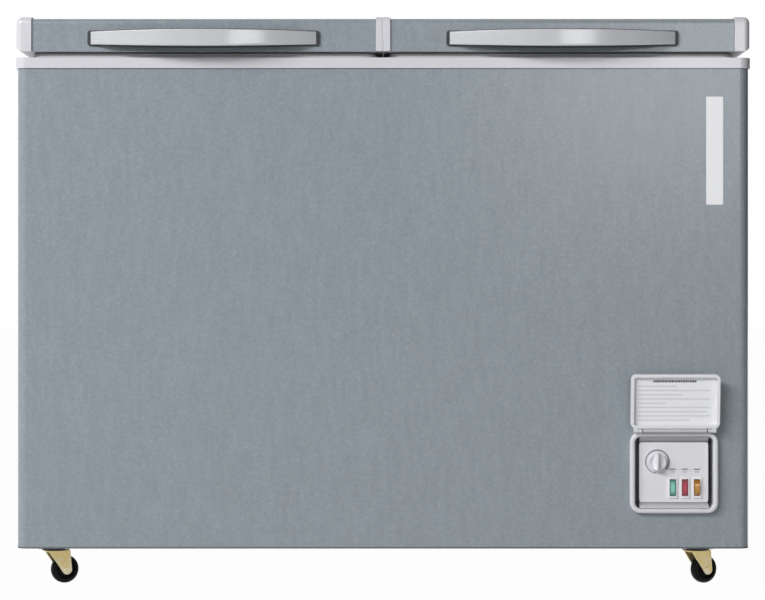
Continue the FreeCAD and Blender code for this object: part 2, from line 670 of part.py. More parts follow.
def make_right_liner():
    """The right zone's liner, which steps up over the machine compartment."""
    body = prism("right_liner", "xy", f"{STEP_FLOOR} - liner_thick", FOAM_TOP,
                 zone_outline(*RIGHT_ZONE, "liner_thick"))
    add_pad(body, "xy", f"{ZONE_FLOOR} - liner_thick", STEP_FLOOR, zone_outline(*DEEP_ZONE, "liner_thick"))
    cut_pad(body, "xy", STEP_FLOOR, f"{FOAM_TOP} + 1", zone_outline(*RIGHT_ZONE, "0"))
    cut_pad(body, "xy", ZONE_FLOOR, f"{FOAM_TOP} + 1", zone_outline(*DEEP_ZONE, "0"))
    return finish(body, "right_liner")


def make_collar():
    """Plastic rim that grips the shell's edge outside and the liners' edges inside."""
    outside = front_rounded(f"({HALF} + collar_overhang)", f"({FRONT} - collar_overhang)",
                            f"({BACK} + collar_overhang)", "(corner_radius + collar_overhang)")
    body = prism("top_collar", "xy", SHELL_TOP, COLLAR_TOP, outside)
    cut_pad(body, "xy", f"{SHELL_TOP} - 1", FOAM_TOP, front_rounded(HALF, FRONT, BACK, "corner_radius"))
    for zone in (LEFT_ZONE, RIGHT_ZONE):
        add_pad(body, "xy", f"{COLLAR_TOP} - collar_skirt", f"{COLLAR_TOP} - collar_wall / 2",
                zone_outline(*zone, "0"))
        cut_pad(body, "xy", f"{COLLAR_TOP} - collar_skirt - 1", f"{COLLAR_TOP} + 1",
                zone_outline(*zone, "(0 - collar_lip)"))
    return finish(body, "top_collar")


# Cooling circuit

CONDENSER_CORNERS = (
    (f"(-{INNER_HALF} + condenser_margin)", f"({PAN_TOP} + condenser_margin)"),
    (f"({MACHINE_X} - condenser_margin)", f"({FOAM_TOP} - condenser_margin)"),
)


def make_evaporator(side_name, zone, low_z):
    """A tube wound upwards round the outside of a liner, climbing along its left wall."""
    off = "(liner_thick + seat_gap + coil_radius)"
    bend = number(f"zone_radius + {off}")
    left = number(f"{zone[0]} - {off}")
    right = number(f"{zone[1]} + {off}")
    front = number(f"{ZONE_FRONT} - {off}")
    back = number(f"{ZONE_BACK} + {off}")
    start_z = number(f"{low_z} + coil_margin")
    pitch = number("coil_pitch")
    turns = int((number(f"{FOAM_TOP} - coil_margin") - start_z) / pitch)
    corners = []
    for turn in range(turns):
        level = start_z + turn * pitch
        first_x = left if turn else left + bend
        corners += [FreeCAD.Vector(x, y, level)
                    for x, y in ((first_x, front), (right, front), (right, back), (left, back))]
    corners.append(FreeCAD.Vector(left, (front + back) / 2, start_z + (turns - 0.5) * pitch))
    tube = bent_tube(f"{side_name}_evaporator", corners, bend, number("coil_radius"))
    return finish(tube, f"{side_name}_evaporator")


def make_condenser():
    """A tube that runs to and fro on the inner face of the back panel."""
    low, high = CONDENSER_CORNERS
    y = number(f"{INNER_BACK} - seat_gap - condenser_radius")
    ends = (number(low[0]), number(high[0]))
    pitch = number("condenser_pitch")
    runs = int((number(high[1]) - number(low[1])) / pitch) + 1
    corners = []
    for run in range(runs):
        z = number(low[1]) + run * pitch
        corners += [FreeCAD.Vector(x, y, z) for x in ends[::(-1) ** run]]
    tube = bent_tube("condenser_coil", corners, number("condenser_bend"), number("condenser_radius"))
    return finish(tube, "condenser_coil")


def foot_places():
    return [(f"{COMPRESSOR_X} + {x} * foot_reach", f"{COMPRESSOR_Y} + {y} * foot_spread")
            for x in (-1, 1) for y in (-1, 1)]


def make_compressor():
    """Welded dome with two foot straps and two pipe stubs."""
    body = new_body("compressor")
    add_turned(body, [
        ("0", "0"),
        ("compressor_radius * 0.75", "0"),
        ("compressor_radius", "compressor_radius * 0.35"),
        ("compressor_radius", "compressor_height - dome_rise",
         "(compressor_radius * compressor_radius + dome_rise * dome_rise) / (2 * dome_rise)", 1),
        ("0", "compressor_height"),
    ])
    for side in (-1, 1):
        reach = "(foot_reach + foot_width / 2)"
        add_box(body, (f"-{reach}", f"{side} * foot_spread - foot_width / 2", "-foot_thick"),
                (reach, f"{side} * foot_spread + foot_width / 2", "foot_thick"))
        add_rod(body, "boss_radius", (f"{side} * boss_offset", "0", "compressor_height / 2"),
                "compressor_height / 2 + boss_rise")
    for x in (-1, 1):
        for y in (-1, 1):
            cut_rod(body, "stud_radius + seat_gap",
                    (f"{x} * foot_reach", f"{y} * foot_spread", "-foot_thick - 1"),
                    "2 * foot_thick + 2")
    bind_place(body, COMPRESSOR_X, COMPRESSOR_Y, FOOT_TOP)
    return finish(body, "compressor")


def make_grommets():
    grommets = []
    for x, y in foot_places():
        body = new_body("grommet")
        add_rod(body, "grommet_radius", (x, y, PAN_TOP), "grommet_height")
        cut_rod(body, "stud_radius + seat_gap", (x, y, f"{PAN_TOP} - 1"), "grommet_height + 2")
        grommets.append(body)
    return group("compressor_grommets", grommets)


def make_studs():
    studs = []
    for x, y in foot_places():
        body = new_body("stud")
        add_rod(body, "stud_radius", (x, y, PAN_TOP), "grommet_height + 2 * foot_thick + stud_head")
        add_rod(body, "stud_radius * 1.8", (x, y, f"{FOOT_TOP} + foot_thick"), "stud_head")
        studs.append(body)
    return group("compressor_studs", studs)


def make_terminal_cover():
    """The moulded cover over the compressor's terminals, shaped to the dome."""
    body = new_body("terminal_cover")
    half = "(terminal_width / 2)"
    middle = f"({FOOT_TOP} + compressor_height / 2)"
    add_box(body, (f"{COMPRESSOR_X} - {half}", f"{COMPRESSOR_Y} - compressor_radius - terminal_depth",
                   f"{middle} - {half}"),
            (f"{COMPRESSOR_X} + {half}", f"{COMPRESSOR_Y} - compressor_radius / 2", f"{middle} + {half}"))
    cut_rod(body, "compressor_radius + seat_gap", (COMPRESSOR_X, COMPRESSOR_Y, f"{middle} - {half} - 1"),
            "terminal_width + 2")
    return finish(body, "terminal_cover")


DRIER_X = f"({MACHINE_X} + drier_offset)"
DRIER_END = f"({BACK} - drier_back)"
DRIER_START = f"({DRIER_END} - drier_length)"


def make_drier():
    body = new_body("filter_drier")
    cone = "(drier_radius * 1.5)"
    add_turned(body, [
        ("0", "0"),
        ("line_radius", "0"),
        ("drier_radius", cone),
        ("drier_radius", f"drier_length - {cone}"),
        ("line_radius", "drier_length"),
        ("0", "drier_length"),
    ])
    body.Placement = FreeCAD.Placement(FreeCAD.Vector(), TURNS["y"])
    bind_place(body, DRIER_X, DRIER_START, "drier_z")
    return finish(body, "filter_drier")


def make_lines():
    """Suction and discharge lines from the compressor, and the lines at both ends of the drier."""
    bend, radius = number("line_bend"), number("line_radius")
    stub_top = f"{DOME_TOP} + boss_rise + seat_gap"
    wall = f"{MACHINE_X} + seat_gap"
    right_x = f"{COMPRESSOR_X} + boss_offset"
    left_x = f"{COMPRESSOR_X} - boss_offset"
    high = f"{MACHINE_TOP} - 2 * line_bend"
    low = f"{high} - line_bend"
    rear_y = f"{BACK} - 2 * line_bend"
    clear = f"{DRIER_END} + 1.5 * line_bend"
    before = f"{DRIER_START} - 1.5 * line_bend"
    routes = (
        [(right_x, COMPRESSOR_Y, stub_top), (right_x, COMPRESSOR_Y, high), (wall, COMPRESSOR_Y, high)],
        [(left_x, COMPRESSOR_Y, stub_top), (left_x, COMPRESSOR_Y, low), (left_x, rear_y, low),
         (wall, rear_y, low)],
        [(wall, clear, "drier_z"), (DRIER_X, clear, "drier_z"),
         (DRIER_X, f"{DRIER_END} + seat_gap", "drier_z")],
        [(DRIER_X, f"{DRIER_START} - seat_gap", "drier_z"), (DRIER_X, before, "drier_z"),
         (wall, before, "drier_z")],
    )
    tubes = [bent_tube("line", [point(*place) for place in route], bend, radius) for route in routes]
    return group("refrigerant_lines", tubes)


# Covers of the machine compartment

def slot_levels(middle, free_height):
    """Heights of the louvre slots about a middle height."""
    count = int(number(free_height) / number("slot_pitch"))
    return [f"({middle} + ({index - (count - 1) / 2}) * slot_pitch)" for index in range(count)]


def make_side_grille():
    """Slotted vent in the right side, its flange outside the shell and its collar inside the opening."""
    half_long, half_tall = "(grille_long / 2)", "(grille_tall / 2)"
    body = prism("side_grille", "yz", HALF, f"{HALF} + grille_proud",
                 rounded(f"({GRILLE_Y} - {half_long})", f"(grille_z - {half_tall})",
                         f"({GRILLE_Y} + {half_long})", f"(grille_z + {half_tall})", "grille_margin"))
    add_pad(body, "yz", f"{HALF} - grille_margin", f"{HALF} + grille_proud / 2", grille_opening("seat_gap"))
    cut_pad(body, "yz", f"{HALF} - grille_margin - 1", HALF, grille_opening("grille_proud"))
    half_slot = "(grille_long / 2 - 2 * grille_margin)"
    for level in slot_levels("grille_z", "grille_tall - 4 * grille_margin"):
        cut_box(body, (f"{HALF} - 1", f"{GRILLE_Y} - {half_slot}", f"{level} - slot_tall / 2"),
                (f"{HALF} + grille_proud + 1", f"{GRILLE_Y} + {half_slot}", f"{level} + slot_tall / 2"))
    return finish(body, "side_grille")


def cover_screw_places():
    """Six screws along the upright edges of the rear cover."""
    inset = "(rear_lap / 2)"
    return [(x, z) for x in (f"({REAR_LEFT} + {inset})", f"({REAR_RIGHT} - {inset})")
            for z in (f"({REAR_LOW} + {inset})", f"(({REAR_LOW} + {REAR_HIGH}) / 2)",
                      f"({REAR_HIGH} - {inset})")]


def make_rear_cover():
    """Louvred sheet over the back of the machine compartment."""
    holes = [(x, z, "screw_hole") for x, z in cover_screw_places()]
    holes.append((GLAND_X, "gland_z", "gland_radius + seat_gap"))
    body = prism("rear_cover", "xz", BACK, f"{BACK} + rear_cover_thick",
                 rectangle(REAR_LEFT, REAR_LOW, REAR_RIGHT, REAR_HIGH), *holes)
    middle_x = f"(({REAR_LEFT} + {REAR_RIGHT}) / 2)"
    slots_low = "(gland_z + 2 * gland_flange)"
    free = f"({REAR_HIGH} - rear_lap - {slots_low})"
    half_slot = f"(({REAR_RIGHT} - {REAR_LEFT}) / 2 - 2 * rear_lap)"
    for level in slot_levels(f"({slots_low} + {free} / 2)", free):
        cut_box(body, (f"{middle_x} - {half_slot}", f"{BACK} - 1", f"{level} - slot_tall / 2"),
                (f"{middle_x} + {half_slot}", f"{BACK} + rear_cover_thick + 1", f"{level} + slot_tall / 2"))
    return finish(body, "rear_cover")


def make_gland():
    """Rubber bush in the rear cover that the mains cord passes through."""
    body = new_body("cord_gland")
    outside = f"({BACK} + rear_cover_thick)"
    inside = f"({outside} - gland_length)"
    add_rod(body, "gland_radius", (GLAND_X, inside, "gland_z"), "gland_length + rear_cover_thick", "y")
    add_rod(body, "gland_flange", (GLAND_X, outside, "gland_z"), "3 * rear_cover_thick", "y")
    cut_rod(body, "gland_bore", (GLAND_X, f"{inside} - 1", "gland_z"),
            "gland_length + 3 * rear_cover_thick + 2", "y")
    return finish(body, "cord_gland")


def make_sheet_screws():
    """Screws of the rear cover and of the hinge brackets, all alike."""
    screws = []
    seats = [(x, z, f"({BACK} + rear_cover_thick)") for x, z in cover_screw_places()]
    seats += [(x, z, f"({BACK} + hinge_sheet)") for x, z in hinge_screw_places()]
    for x, z, seat in seats:
        body = new_body("sheet_screw")
        add_rod(body, "screw_radius", (x, f"{INNER_BACK} + seat_gap", z), f"{seat} - {INNER_BACK}", "y")
        add_rod(body, "screw_head", (x, seat, z), "screw_head_tall", "y")
        screws.append(body)
    return group("sheet_metal_screws", screws)


# Lid hinges

def hinge_places():
    return [(name, f"({side} * {place})") for name, side in SIDES for place in ("hinge_inner", "hinge_outer")]


def hinge_screw_places():
    """Three screws down the middle of each bracket plate."""
    first = f"({PIVOT_Z} - bracket_clear)"
    tall = "(hinge_drop - bracket_clear)"
    return [(x, f"({first} - {tall} * {share})") for _, x in hinge_places() for share in (0.2, 0.5, 0.8)]


def pivot_ear(radius, rest):
    """A side outline round the lid pivot: an arc of two quarters, then the other corners.

    The arc runs over the top for a bracket ear and under the pivot for a leaf ear.
    """
    return [
        (f"{PIVOT_Y} + {radius}", PIVOT_Z, radius, 1),
        (PIVOT_Y, f"{PIVOT_Z} + {radius}", radius, 1),
        (f"{PIVOT_Y} - {radius}", PIVOT_Z),
    ] + rest


def make_hinge_brackets():
    """Folded sheet brackets on the back panel, each with a plate and two ears."""
    brackets = []
    ear = pivot_ear("knuckle_radius", [
        (f"{PIVOT_Y} - knuckle_radius", f"{PIVOT_Z} - bracket_clear + 2 * hinge_sheet"),
        (BACK, f"{PIVOT_Z} - bracket_clear"),
        (BACK, f"{PIVOT_Z} - hinge_drop"),
        (f"{BACK} + 2 * hinge_sheet", f"{PIVOT_Z} - hinge_drop"),
        (f"{PIVOT_Y} + knuckle_radius", f"{PIVOT_Z} - bracket_clear"),
    ])
    screw_places = hinge_screw_places()
    for index, (_, x) in enumerate(hinge_places()):
        half = "(hinge_width / 2)"
        holes = [(hole_x, hole_z, "screw_hole") for hole_x, hole_z in screw_places[3 * index:3 * index + 3]]
        body = prism("hinge_bracket", "xz", BACK, f"{BACK} + hinge_sheet",
                     rectangle(f"{x} - {half}", f"{PIVOT_Z} - hinge_drop", f"{x} + {half}",
                               f"{PIVOT_Z} - bracket_clear"), *holes)
        add_pad(body, "yz", f"{x} - {half}", f"{x} - {half} + hinge_sheet", ear)
        add_pad(body, "yz", f"{x} + {half} - hinge_sheet", f"{x} + {half}", ear)
        cut_rod(body, "pin_radius + fit_gap / 2", (f"{x} - {half} - 1", PIVOT_Y, PIVOT_Z),
                "hinge_width + 2", "x")
        brackets.append(body)
    return group("hinge_brackets", brackets)


def make_hinge_pins():
    """Pins with a rivet head outside each bracket ear."""
    pins = []
    for _, x in hinge_places():
        body = new_body("hinge_pin")
        end = "(hinge_width / 2 + pin_head)"
        add_rod(body, "pin_radius", (f"{x} - {end}", PIVOT_Y, PIVOT_Z), "hinge_width + 2 * pin_head", "x")
        for start in (f"{x} - {end}", f"{x} + hinge_width / 2"):
            add_rod(body, "pin_radius * 1.5", (start, PIVOT_Y, PIVOT_Z), "pin_head", "x")
        pins.append(body)
    return group("hinge_pins", pins)


def make_hinge_leaves(name, side):
    """Folded sheet leaves on a lid's back face, their ears inside the bracket ears."""
    leaves = []
    radius = "(knuckle_radius - fit_gap * 10)"
    low = f"{LID_BOTTOM} + hinge_sheet"
    high = f"{PIVOT_Z} + leaf_rise"
    ear = [
        (f"{PIVOT_Y} - {radius}", PIVOT_Z, radius, 1),
        (PIVOT_Y, f"{PIVOT_Z} - {radius}", radius, 1),
        (f"{PIVOT_Y} + {radius}", PIVOT_Z),
        (f"{LID_BACK} + 2 * hinge_sheet", high),
        (LID_BACK, high),
        (LID_BACK, low),
    ]
    half = "(hinge_width / 2 - hinge_sheet - hinge_play)"
    for place in ("hinge_inner", "hinge_outer"):
        x = f"({side} * {place})"
        body = prism(f"{name}_hinge_leaf", "xz", LID_BACK, f"{LID_BACK} + hinge_sheet",
                     rectangle(f"{x} - {half}", low, f"{x} + {half}", high))
        add_pad(body, "yz", f"{x} - {half}", f"{x} - {half} + hinge_sheet", ear)
        add_pad(body, "yz", f"{x} + {half} - hinge_sheet", f"{x} + {half}", ear)
        cut_rod(body, "pin_radius + fit_gap", (f"{x} - {half} - 1", PIVOT_Y, PIVOT_Z), f"2 * {half} + 2", "x")
        leaves.append(body)
    return group(f"{name}_hinge_leaves", leaves)


# Lids

def make_lid_skin(name, side):
    """Painted sheet folded over the front, top and back of a lid."""
    inner = "(lid_radius - sheet_thick)"
    low, high = f"({LID_FRONT} + sheet_thick)", f"({LID_BACK} - sheet_thick)"
    outline = [
        (LID_BACK, LID_BOTTOM),
        (LID_BACK, f"{LID_TOP} - lid_radius", "lid_radius", 1),
        (f"{LID_BACK} - lid_radius", LID_TOP),
        (f"{LID_FRONT} + lid_radius", LID_TOP, "lid_radius", 1),
        (LID_FRONT, f"{LID_TOP} - lid_radius"),
        (LID_FRONT, LID_BOTTOM),
        (low, LID_BOTTOM),
        (low, f"{LID_TOP} - lid_radius", inner, -1),
        (f"{LID_FRONT} + lid_radius", f"{LID_TOP} - sheet_thick"),
        (f"{LID_BACK} - lid_radius", f"{LID_TOP} - sheet_thick", inner, -1),
        (high, f"{LID_TOP} - lid_radius"),
        (high, LID_BOTTOM),
    ]
    body = prism(f"{name}_lid_skin", "yz", *mirrored(side, SKIN_IN, SKIN_OUT), outline)
    return finish(body, f"{name}_lid_skin")


def make_lid_caps(name, side):
    """Moulded end caps of a lid, standing a little proud of the skin."""
    profile = top_rounded(f"({LID_FRONT} - cap_proud)", f"({LID_BACK} + cap_proud)", LID_BOTTOM,
                          f"({LID_TOP} + cap_proud)", "(lid_radius + cap_proud)")
    outer = prism(f"{name}_outer_cap", "yz", *mirrored(side, SKIN_OUT, LID_OUT), profile)
    soften(outer, "cap_round", at_x(f"{side} * {LID_OUT}"))
    inner = prism(f"{name}_inner_cap", "yz", *mirrored(side, LID_IN, SKIN_IN), profile)
    soften(inner, "cap_proud / 2", at_x(f"{side} * {LID_IN}"))
    return group(f"{name}_lid_end_caps", [outer, inner])


PLUG_FRONT = f"({ZONE_FRONT} + collar_lip + plug_clear)"
PLUG_BACK = f"({ZONE_BACK} - collar_lip - plug_clear)"
PLUG_IN = f"({ZONE_IN} + collar_lip + plug_clear)"
PLUG_OUT = lesser(f"({ZONE_OUT} - collar_lip - plug_clear)",
                  f"({LID_OUT} - gasket_side - gasket_width - plug_clear)")
PLUG_LOW = f"({LID_BOTTOM} - plug_depth)"
LINER_TOP = f"({LID_BOTTOM} + lid_liner_thick)"


def plug_outline(side, shrink):
    """The plan outline of the raised panel under a lid, shrunk by a wall."""
    low, high = mirrored(side, f"({PLUG_IN} + {shrink})", f"({PLUG_OUT} - {shrink})")
    return rounded(low, f"({PLUG_FRONT} + {shrink})", high, f"({PLUG_BACK} - {shrink})",
                   f"(zone_radius - {shrink})")


def make_lid_foam(name, side):
    span = mirrored(side, SKIN_IN, SKIN_OUT)
    body = prism(f"{name}_lid_foam", "yz", *span,
                 top_rounded(f"({LID_FRONT} + sheet_thick)", f"({LID_BACK} - sheet_thick)", LINER_TOP,
                             f"({LID_TOP} - sheet_thick)", "(lid_radius - sheet_thick)"))
    add_pad(body, "xy", f"{PLUG_LOW} + lid_liner_thick", f"{LINER_TOP} + 1",
            plug_outline(side, "lid_liner_thick"))
    return finish(body, f"{name}_lid_foam")


def make_lid_liner(name, side):
    """White sheet under a lid with a raised panel that reaches into the zone."""
    low, high = mirrored(side, SKIN_IN, SKIN_OUT)
    body = prism(f"{name}_lid_liner", "xy", LID_BOTTOM, LINER_TOP,
                 rectangle(low, f"{LID_FRONT} + sheet_thick", high, f"{LID_BACK} - sheet_thick"))
    add_pad(body, "xy", PLUG_LOW, f"{LID_BOTTOM} + lid_liner_thick / 2", plug_outline(side, "0"))
    cut_pad(body, "xy", f"{PLUG_LOW} + lid_liner_thick", f"{LINER_TOP} + 1",
            plug_outline(side, "lid_liner_thick"))
    return finish(body, f"{name}_lid_liner")


def gasket_loop(side, inset):
    low, high = mirrored(side, f"({LID_IN} + gasket_middle + {inset})",
                         f"({LID_OUT} - gasket_side - {inset})")
    return rounded(low, f"({LID_FRONT} + gasket_front + {inset})", high,
                   f"({LID_BACK} - gasket_front - {inset})", f"(1.5 * gasket_width - {inset})")


def make_gasket(name, side):
    """Soft seal under a lid: a wide bulb on a narrower neck."""
    neck_low = f"({LID_BOTTOM} - gasket_neck)"
    body = prism(f"{name}_lid_gasket", "xy", f"{COLLAR_TOP} + gasket_rest", neck_low,
                 gasket_loop(side, "0"), gasket_loop(side, "gasket_width"))
    add_pad(body, "xy", neck_low, LID_BOTTOM,
            gasket_loop(side, "(gasket_width / 3)"), gasket_loop(side, "(gasket_width * 2 / 3)"))
    return finish(body, f"{name}_lid_gasket")


def arc_radius(half, rise):
    """Radius of an arc from half its chord and its rise."""
    return f"(({half} * {half} + {rise} * {rise}) / (2 * {rise}))"


def bowed_strip(name, x, outer, inner, low, top):
    """A strip bowed out from the handle's backing, straight along its top and bowed down along its foot.

    Outer and inner are half the chord and the rise of each face's arc, seen from above.
    """
    half, rise = outer
    inner_half, inner_rise = inner
    plan = prism(f"{name}_plan", "xy", low, top, [
        (f"{x} - {half}", BACKING_FACE, arc_radius(half, rise), 1),
        (f"{x} + {half}", BACKING_FACE),
        (f"{x} + {inner_half}", BACKING_FACE, arc_radius(inner_half, inner_rise), -1),
        (f"{x} - {inner_half}", BACKING_FACE),
    ])
    face = prism(f"{name}_face", "xz", f"{BACKING_FACE} - grip_bow - 1", f"{BACKING_FACE} + 1", [
        (f"{x} - {half}", f"{low} + grip_drop", arc_radius(half, "grip_drop"), 1),
        (f"{x} + {half}", f"{low} + grip_drop"),
        (f"{x} + {half}", top),
        (f"{x} - {half}", top),
    ])
    strip = doc.addObject("Part::Common", name)
    strip.Base = plan
    strip.Tool = face
    return strip


def make_handle(name, side):
    """Silver grip on a dark bowed core, which stands on a dark backing plate."""
    x = f"({side} * {GRIP_X})"
    top = f"({LID_BOTTOM} + grip_top)"
    low = f"({top} - grip_tall)"
    grip_inner = ("(grip_width / 2 - grip_foot)", "(grip_bow - grip_thick)")
    core_outer = ("(grip_width / 2 - grip_foot - seat_gap)", "(grip_bow - grip_thick - seat_gap)")
    core_inner = ("(grip_width / 2 - grip_foot - core_foot)", "(grip_bow - grip_thick - core_thick)")
    grip = bowed_strip(f"{name}_handle_grip", x, ("(grip_width / 2)", "grip_bow"), grip_inner, low, top)
    core = bowed_strip(f"{name}_handle_core", x, core_outer, core_inner,
                       f"({low} - core_lip)", f"({top} + core_lip)")
    plate = prism(f"{name}_handle_plate", "xz", BACKING_FACE, LID_FRONT,
                  about(x, f"({LID_BOTTOM} + backing_low + backing_tall / 2)", "backing_width",
                        "backing_tall", "backing_radius"))
    backing = doc.addObject("Part::MultiFuse", f"{name}_handle_backing")
    backing.Shapes = [plate, core]
    finish(grip, f"{name}_handle_grip")
    finish(backing, f"{name}_handle_backing")


# Control panel

def make_bezel():
    """White ring round the control recess, with two lugs for the cover on its top."""
    ring = about(PANEL_X, "panel_z", "bezel_width", "bezel_height", "bezel_radius")
    opening = about(PANEL_X, "panel_z", "bezel_width - 2 * bezel_ring", "bezel_height - 2 * bezel_ring",
                    "(bezel_radius - bezel_ring)")
    body = prism("panel_bezel", "xz", BEZEL_FACE, FRONT, ring, opening)
    soften(body, "bezel_edge", at_y(BEZEL_FACE))
    top = "(panel_z + bezel_height / 2)"
    lug = [
        (f"{COVER_Y} - lug_radius", COVER_Z, "lug_radius", 1),
        (COVER_Y, f"{COVER_Z} - lug_radius"),
        (f"{BEZEL_FACE} + bezel_edge", f"{top} - lug_radius / 2"),
        (f"{FRONT} - bezel_edge", f"{top} - lug_radius / 2"),
        (f"{FRONT} - bezel_edge", f"{COVER_Z} + lug_radius / 2"),
        (COVER_Y, f"{COVER_Z} + lug_radius", "lug_radius", 1),
    ]
    for side in (-1, 1):
        low, high = lug_span(side)
        add_pad(body, "yz", low, high, lug)
        cut_rod(body, "stub_radius + fit_gap", (f"{low} - 1", COVER_Y, COVER_Z), "lug_width + 2", "x")
    return finish(body, "panel_bezel")


def lug_span(side):
    """Where a cover lug lies along X."""
    middle = f"({PANEL_X} + {side} * (cover_width / 2 - lug_inset))"
    return f"({middle} - lug_width / 2)", f"({middle} + lug_width / 2)"


def make_recess_box():
    """Dark box behind the bezel, with four posts for the control plate."""
    inner = about(PANEL_X, "panel_z",
                  f"{RECESS_WIDTH} - 2 * recess_wall", f"{RECESS_HEIGHT} - 2 * recess_wall",
                  "(bezel_radius - bezel_ring)")
    body = prism("panel_box", "xz", FRONT, f"{FRONT} + recess_depth",
                 about(PANEL_X, "panel_z", RECESS_WIDTH, RECESS_HEIGHT,
                       "(bezel_radius - bezel_ring + recess_wall)"))
    floor = f"({FRONT} + recess_depth - recess_wall)"
    cut_pad(body, "xz", f"{FRONT} - 1", floor, inner)
    for x in (-1, 1):
        for z in (-1, 1):
            add_rod(body, "post_radius", (f"{PANEL_X} + {x} * (plate_width / 2 - post_inset)", PLATE_REAR,
                                          f"panel_z + {z} * (plate_height / 2 - post_inset)"),
                    f"{floor} - {PLATE_REAR} + recess_wall / 2", "y")
    return finish(body, "panel_box")


def lamp_middles():
    return [f"({LAMP_X} + ({step}) * lamp_pitch)" for step in (-1, 0, 1)]


def make_plate():
    """Pale control plate with a raised dial ring and openings for the shaft and the lamps."""
    holes = [(DIAL_X, DIAL_Z, "shaft_radius + 2 * seat_gap")]
    windows = [about(x, LAMP_Z, "lamp_width", "lamp_height", "lens_gap") for x in lamp_middles()]
    body = prism("panel_plate", "xz", PLATE_FACE, PLATE_REAR,
                 about(PANEL_X, "panel_z", "plate_width", "plate_height", "post_radius"), *holes, *windows)
    add_pad(body, "xz", f"{PLATE_FACE} - dial_raise", f"{PLATE_FACE} + dial_raise",
            (DIAL_X, DIAL_Z, "dial_radius"), (DIAL_X, DIAL_Z, "dial_radius - dial_raise"))
    return finish(body, "panel_plate")


def make_thermostat():
    """Switch body behind the plate, with the shaft that carries the knob."""
    body = new_body("thermostat")
    half = "(thermostat_width / 2)"
    add_box(body, (f"{DIAL_X} - {half}", PLATE_REAR, f"{DIAL_Z} - {half}"),
            (f"{DIAL_X} + {half}", f"{PLATE_REAR} + thermostat_depth", f"{DIAL_Z} + {half}"))
    add_rod(body, "shaft_radius", (DIAL_X, f"{PLATE_FACE} - shaft_length", DIAL_Z),
            "shaft_length + plate_thick + 1", "y")
    return finish(body, "thermostat")


def make_knob():
    """Round knob with a finger ridge that points at the dial."""
    body = new_body("thermostat_knob")
    seat = "(knob_length - shaft_length - seat_gap)"
    add_turned(body, [
        ("0", "0"),
        ("knob_radius * 0.85", "0"),
        ("knob_radius", "knob_length * 0.4"),
        ("knob_radius", "knob_length - seat_gap"),
        ("0", "knob_length - seat_gap"),
    ])
    add_box(body, ("-knob_ridge / 2", "-knob_radius * 0.8", "-knob_length * 0.5"),
            ("knob_ridge / 2", "knob_radius * 0.8", "knob_length * 0.2"))
    cut_rod(body, "shaft_radius + fit_gap", ("0", "0", seat), "knob_length")
    body.Placement = FreeCAD.Placement(FreeCAD.Vector(), TURNS["y"])
    bind_place(body, DIAL_X, f"{PLATE_FACE} - knob_length", DIAL_Z)
    return finish(body, "thermostat_knob")


def make_lamps():
    """Three pale frames on the plate, with a green and a red lamp in the first two."""
    frames = []
    for x in lamp_middles():
        width = "(lamp_width + 2 * frame_rim)"
        body = prism("lamp_frame", "xz", f"{PLATE_FACE} - frame_proud", PLATE_FACE,
                     about(x, LAMP_Z, width, "frame_height", "frame_rim"),
                     about(x, LAMP_Z, "lamp_width", "lamp_height", "lens_gap"))
        frames.append(body)
    rocker_frame = frames[2]
    rocker_x = lamp_middles()[2]
    pocket = f"({rocker_x} - lamp_width / 2 - frame_rim / 2)"
    cut_rod(rocker_frame, "rocker_pin + fit_gap", (pocket, ROCKER_Y, LAMP_Z), "lamp_width + frame_rim", "x")
    group("lamp_frames", frames)
    for label, x in zip(("power_lamp", "run_lamp"), lamp_middles()):
        lens = prism(label, "xz", f"{PLATE_FACE} - lens_proud", f"{PLATE_REAR} + lens_proud",
                     about(x, LAMP_Z, "lamp_width - 2 * fit_gap", "lamp_height - 2 * fit_gap", "lens_gap"))
        soften(lens, "lens_proud / 4", at_y(f"{PLATE_FACE} - lens_proud"))
        finish(lens, label)


ROCKER_Y = f"({PLATE_FACE} - frame_proud / 2)"


def make_rocker():
    """Amber quick-freeze rocker with a crowned face, on two trunnions in its frame."""
    x = lamp_middles()[2]
    half = "(lamp_height / 2 - lens_gap)"
    half_width = "(lamp_width / 2 - lens_gap)"
    edge = f"({PLATE_FACE} - frame_proud)"
    rear = f"({PLATE_FACE} + 0.5 * plate_thick)"
    body = prism("quick_freeze_rocker", "yz", f"{x} - {half_width}", f"{x} + {half_width}", [
        (edge, f"{LAMP_Z} + {half}", arc_radius(half, "lens_proud"), 1),
        (edge, f"{LAMP_Z} - {half}"),
        (rear, f"{LAMP_Z} - {half} + 2 * plate_thick"),
        (rear, f"{LAMP_Z} + {half} - 2 * plate_thick"),
    ])
    reach = "(lamp_width / 2 + frame_rim / 2 - seat_gap)"
    add_rod(body, "rocker_pin", (f"{x} - {reach}", ROCKER_Y, LAMP_Z), f"2 * {reach}", "x")
    return finish(body, "quick_freeze_rocker")


